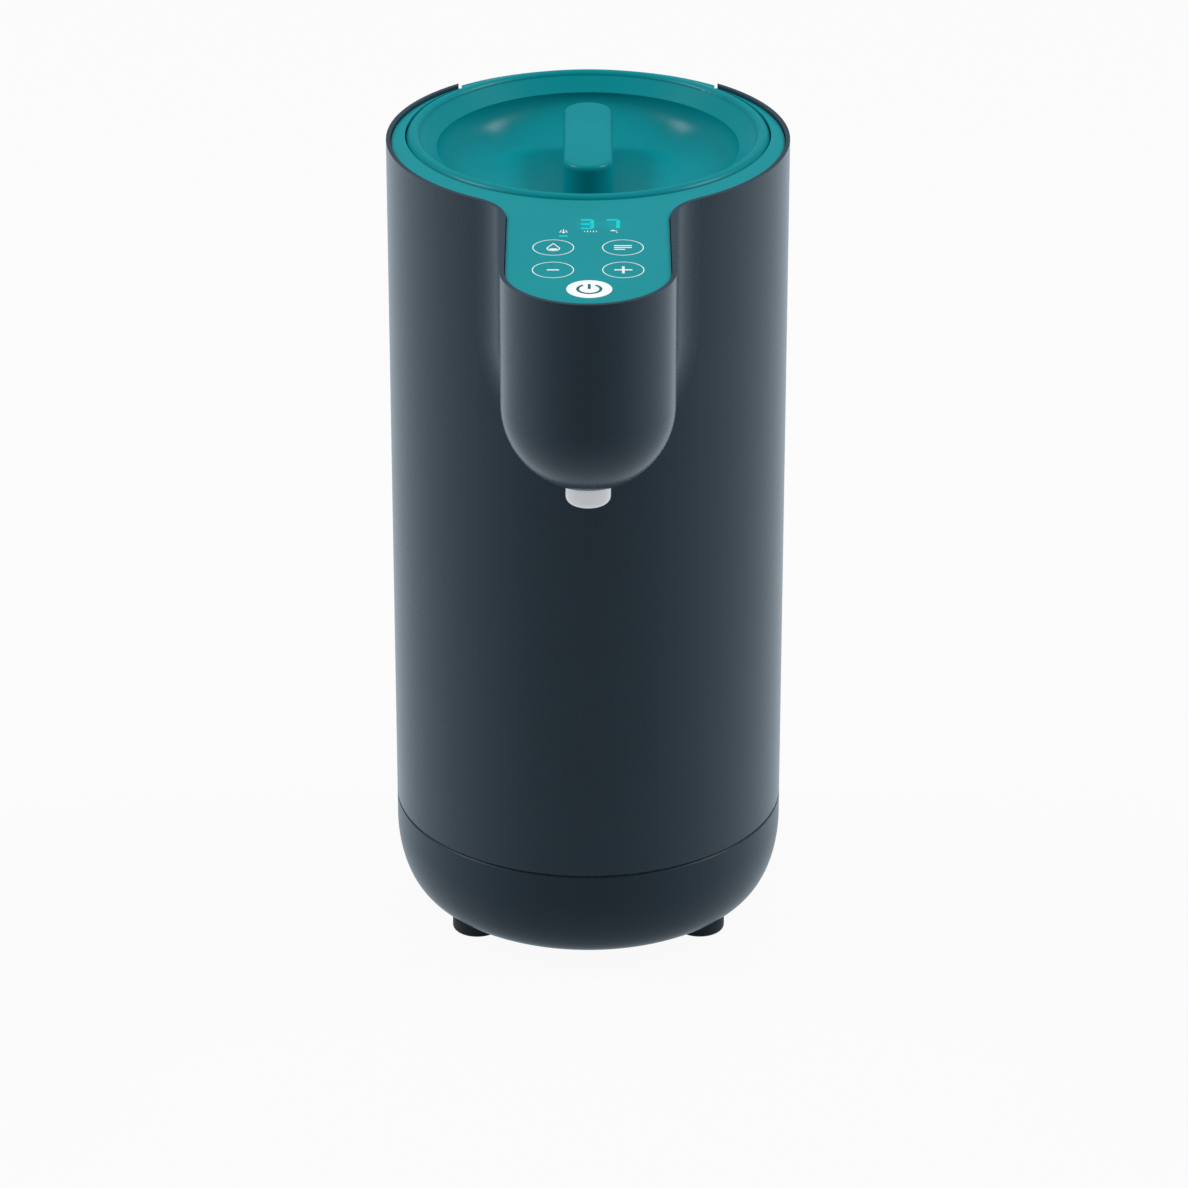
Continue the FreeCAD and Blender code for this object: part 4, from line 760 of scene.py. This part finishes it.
@dataclass
class SmallSymbols(DeckPrint):
    """Three small printed symbols under the digits: a warming sign, a scale and a tap."""

    middle_y: float = -0.0952
    bulb_r: float = 0.0006
    bulb_down: float = 0.0010
    stem_l: float = 0.0026
    stem_up: float = 0.0008
    ray_l: float = 0.0022
    ray_out: float = 0.0011
    ray_turn: float = 0.3
    tick_ls: tuple[float, ...] = (0.0009, 0.0015, 0.0009, 0.0015, 0.0009)
    tick_pitch: float = 0.0011
    pipe_at: tuple[float, float] = (-0.0006, 0.0006)
    pipe_l: float = 0.0018
    pipe_w: float = 0.000576
    handle_l: float = 0.0010
    handle_up: float = 0.0007      # from the pipe's middle to the handle's
    bend_at: tuple[float, float] = (0.0002, 0.0001)
    bend_r: float = 0.0006
    bend_start: float = math.radians(-10)
    bend_sweep: float = math.radians(100)
    drop_at: tuple[float, float] = (0.0009, -0.0012)
    drop_r: float = 0.0003

    def add_pieces(self) -> None:
        """Print each symbol as a piece of its own."""
        for name, mark in (("warm", self.add_warm), ("scale", self.add_scale),
                           ("pour", self.add_tap)):
            bm = bmesh.new()
            mark(bm, SYMBOL_X[name], self.middle_y)
            self.finish_print(bm, f"symbol_{name}", PRINT_WHITE_PAINTED_GLOW)

    def add_warm(self, bm: bmesh.types.BMesh, x: float, y: float) -> None:
        """Add a bulb with a stem and a leaning line on each side.

        Args:
            bm: the bmesh that gets it.
            x: middle of the symbol.
            y: middle of the symbol.
        """
        add_disc(bm, x, y - self.bulb_down, self.bulb_r, self.low, self.high, segments=24)
        add_bar(bm, x, y + self.stem_up, self.line_w, self.stem_l, self.low, self.high)
        for side in (-1.0, 1.0):
            add_bar(bm, x + side * self.ray_out, y, self.line_w, self.ray_l, self.low, self.high,
                    turn=side * self.ray_turn)

    def add_scale(self, bm: bmesh.types.BMesh, x: float, y: float) -> None:
        """Add a row of ticks, short and tall in turn.

        Args:
            bm: the bmesh that gets it.
            x: middle of the symbol.
            y: middle of the symbol.
        """
        middle = (len(self.tick_ls) - 1) / 2.0
        for i, length in enumerate(self.tick_ls):
            add_bar(bm, x + (i - middle) * self.tick_pitch, y, self.line_w, length, self.low,
                    self.high)

    def add_tap(self, bm: bmesh.types.BMesh, x: float, y: float) -> None:
        """Add a pipe with a handle, its bend and a drop under it.

        Args:
            bm: the bmesh that gets it.
            x: middle of the symbol.
            y: middle of the symbol.
        """
        pipe_x, pipe_y = x + self.pipe_at[0], y + self.pipe_at[1]
        add_bar(bm, pipe_x, pipe_y, self.pipe_l, self.pipe_w, self.low, self.high)
        add_bar(bm, pipe_x, pipe_y + self.handle_up, self.line_w, self.handle_l, self.low,
                self.high)
        add_band(bm, x + self.bend_at[0], y + self.bend_at[1], self.bend_r, self.line_w, self.low,
                 self.high, steps=12, start=self.bend_start, sweep=self.bend_sweep)
        add_disc(bm, x + self.drop_at[0], y + self.drop_at[1], self.drop_r, self.low, self.high,
                 segments=16)


class Lid(SubAssembly):
    """Tank lid with its bowl, grip bar, seal and inner plate."""

    nodes = {Slot.LID: ("tank_lid", "lid_inner_plate"), Slot.SILICONE: ("lid_seal",)}


@dataclass
class Tank(SubAssembly):
    """Clear water tank with its valve, filter, float and level marks."""

    nodes = {Slot.TANK: ("water_tank",), Slot.SILICONE: ("valve_seal",),
             Slot.WHITE: ("valve_seat", "valve_poppet", "valve_cage", "float_guide",
                          "level_float"),
             Slot.STEEL: ("inlet_filter",), Slot.MAGNET: ("float_magnet",)}
    mark_t: float = 0.00025
    mark_h: float = 0.0008
    mark_sweep: float = math.radians(26)
    levels: tuple[float, ...] = (0.15, 0.38, 0.61, 0.84)    # shares of the tank's height
    spring_wire_r: float = 0.0005
    spring_turns: int = 5
    turn_steps: int = 24
    wire_sides: int = 12

    def add_pieces(self) -> None:
        """Print the level marks and wind the valve's spring."""
        self.print_levels()
        self.wind_spring()

    def print_levels(self) -> None:
        """Print the level marks on the tank's front."""
        low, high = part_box("water_tank")
        seat_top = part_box("valve_seat")[1].z
        radius = (high.x - low.x) / 2.0
        centre_y = high.y - radius
        middle = radius + self.mark_t / 4.0    # a quarter of the mark lies inside the wall
        bm = bmesh.new()
        for share in self.levels:
            z = seat_top + share * (high.z - seat_top)
            add_band(bm, 0.0, centre_y, middle, self.mark_t, z, z + self.mark_h, steps=16,
                     start=TOWARDS_USER - self.mark_sweep / 2.0, sweep=self.mark_sweep)
        finish_piece(bm, "level_marks", PRINT_WHITE_PAINTED_GLOW, Body.TANK)

    def wind_spring(self) -> None:
        """Wind the valve's spring in place of the carried-over one, riding on the tank."""
        low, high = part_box("valve_spring")
        centre = (low + high) / 2.0
        radius = (high.x - low.x) / 2.0 - self.spring_wire_r
        height = high.z - low.z
        steps = self.spring_turns * self.turn_steps
        bm = bmesh.new()
        start = Matrix.Translation((centre.x + radius, centre.y, low.z + self.spring_wire_r))
        bmesh.ops.create_circle(bm, cap_ends=True, segments=self.wire_sides,
                                radius=self.spring_wire_r,
                                matrix=start @ Matrix.Rotation(FULL_TURN / 4.0, 4, "X"))
        bmesh.ops.spin(bm, geom=[*bm.verts, *bm.edges, *bm.faces], cent=centre,
                       axis=(0.0, 0.0, 1.0), angle=FULL_TURN * self.spring_turns, steps=steps,
                       dvec=(0.0, 0.0, (height - 2.0 * self.spring_wire_r) / steps))
        spring = finish_piece(bm, "valve_coil", FINISHES[Slot.STEEL], Body.TANK)
        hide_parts("valve_spring")
        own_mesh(spring)


class WaterWorks(SubAssembly):
    """Pump, heater, hoses and spout elbow."""

    nodes = {Slot.SILICONE: ("socket_gasket", "tank_hose", "heater_hose", "spout_hose"),
             Slot.BOARD: ("level_sensor",), Slot.WHITE: ("spout_elbow", "pump_head", "pump_rotor"),
             Slot.STEEL: ("pump_motor", "heater_bracket", "thermal_cutouts", "temperature_sensor"),
             Slot.FOOT: ("pump_mounts",), Slot.ALLOY: ("heater_body",)}


class Electrics(SubAssembly):
    """Power board, inlet and wiring."""

    nodes = {Slot.WIRE: ("wire_harness",), Slot.BOARD: ("power_board",),
             Slot.STEEL: ("board_screws",), Slot.BLACK: ("board_parts", "power_inlet")}


@dataclass
class Studio:
    """Pale floor, soft lights, white surroundings and the camera."""

    floor_half: float = 12.0
    floor_colour: Colour = (0.52, 0.53, 0.54)
    floor_rough: float = 0.9
    floor_white: float = 0.94      # share of plain white in what the camera sees of the floor
    floor_z: float = -0.0002
    front_sky: float = 0.08        # brightness of the surroundings in front and behind
    back_sky: float = 0.80
    front_gloss: float = 0.12      # what a reflection keeps of them in front and above
    high_gloss: float = 0.20
    gloss_heights: tuple[float, float] = (0.12, -0.25)    # from above to below the horizon
    gloss_colour: Colour = (0.88, 1.0, 1.10)
    lamp_at: Point = (1.5, 0.2, 1.9)
    lamp_aim: Point = (0.0, -0.02, 0.30)
    lamp_size: float = 0.7
    lamp_power: float = 18.0
    lens: float = 161.3
    camera_at: Point = (-0.0002, -1.9266, 1.0628)
    pitch: float = math.radians(25.79)
    yaw: float = -0.0013

    def build(self) -> None:
        """Build everything that isn't part of the object."""
        self.lay_floor()
        self.light_world()
        self.hang_lamps()
        self.place_camera()
        bpy.context.scene.view_settings.view_transform = "Standard"

    def lay_floor(self) -> None:
        """Lay the floor, white to the camera apart from the object's shadow."""
        bm = bmesh.new()
        bmesh.ops.create_grid(bm, x_segments=1, y_segments=1, size=self.floor_half,
                              matrix=Matrix.Translation((0.0, 0.0, self.floor_z)))
        mesh = bpy.data.meshes.new("floor")
        bm.to_mesh(mesh)
        bm.free()
        floor = bpy.data.objects.new("floor", mesh)
        bpy.context.scene.collection.objects.link(floor)
        made, wiring = start_material("floor", self.floor_colour)
        nodes = made.node_tree.nodes
        matt = nodes["Principled BSDF"]
        matt.inputs["Base Color"].default_value = (*self.floor_colour, 1.0)
        matt.inputs["Roughness"].default_value = self.floor_rough
        white = wiring.add("ShaderNodeEmission").outputs["Emission"]
        seen = wiring.add("ShaderNodeLightPath").outputs["Is Camera Ray"]
        blend = wiring.add("ShaderNodeMixShader")
        sources = (wiring.maths("MULTIPLY", seen, self.floor_white), matt.outputs["BSDF"], white)
        for socket, source in zip(blend.inputs, sources):
            wiring.feed(socket, source)
        wiring.feed(nodes["Material Output"].inputs["Surface"], blend.outputs["Shader"])
        mesh.materials.append(made)
        floor.visible_glossy = False

    def light_world(self) -> None:
        """Light from all around, brighter from behind, and show the camera plain white.

        Reflections see less of what is in front and above, and that keeps the mouldings dark.
        """
        world = bpy.data.worlds.new("studio")
        world.use_nodes = True
        world.cycles.sampling_method = "NONE"
        bpy.context.scene.world = world
        wiring = Wiring(world.node_tree)
        ways = wiring.add("ShaderNodeSeparateXYZ")
        wiring.feed(ways.inputs[0], wiring.add("ShaderNodeTexCoord").outputs["Generated"])
        rays = wiring.add("ShaderNodeLightPath").outputs
        depth, height = ways.outputs["Y"], ways.outputs["Z"]
        front_to_back = (-1.0, 1.0)
        clear = wiring.maths("MAXIMUM", rays["Is Camera Ray"], rays["Is Transmission Ray"])
        sky = wiring.graded(depth, front_to_back, self.front_sky, self.back_sky)
        gloss = wiring.maths("MULTIPLY",
                             wiring.graded(depth, front_to_back, self.front_gloss, 1.0),
                             wiring.graded(height, self.gloss_heights, self.high_gloss, 1.0))
        level = wiring.choose("FLOAT", rays["Is Glossy Ray"], sky, gloss)
        tint = wiring.choose("RGBA", rays["Is Glossy Ray"], (1.0, 1.0, 1.0, 1.0),
                             (*self.gloss_colour, 1.0))
        back = world.node_tree.nodes["Background"].inputs
        wiring.feed(back["Strength"], wiring.choose("FLOAT", clear, level, 1.0))
        wiring.feed(back["Color"], tint)

    def hang_lamps(self) -> None:
        """Hang a soft lamp high up on each side, a little in front."""
        for side, name in ((-1.0, "lamp_left"), (1.0, "lamp_right")):
            lamp = bpy.data.lights.new(name, "AREA")
            lamp.shape = "DISK"
            lamp.size = self.lamp_size
            lamp.energy = self.lamp_power
            holder = bpy.data.objects.new(name, lamp)
            place = Vector((side * self.lamp_at[0], *self.lamp_at[1:]))
            holder.location = place
            aim = Vector(self.lamp_aim) - place
            holder.rotation_euler = aim.to_track_quat("-Z", "Y").to_euler()
            bpy.context.scene.collection.objects.link(holder)

    def place_camera(self) -> None:
        """Place the camera where the photograph was taken from."""
        data = bpy.data.cameras.new("camera")
        data.lens = self.lens
        camera = bpy.data.objects.new("camera", data)
        camera.location = self.camera_at
        camera.rotation_euler = (math.pi / 2.0 - self.pitch, 0.0, self.yaw)
        bpy.context.scene.collection.objects.link(camera)
        bpy.context.scene.camera = camera


def main() -> None:
    """Build the dressed model and its studio, piece by piece."""
    logging.basicConfig(level=logging.INFO, format="%(message)s")
    for section in (Housing(), ControlPanel(), SmallSymbols(), Lid(), Tank(), WaterWorks(),
                    Electrics(), Studio()):
        section.build()
        log.info("%s is done", type(section).__name__)


if __name__ == "__main__":
    main()
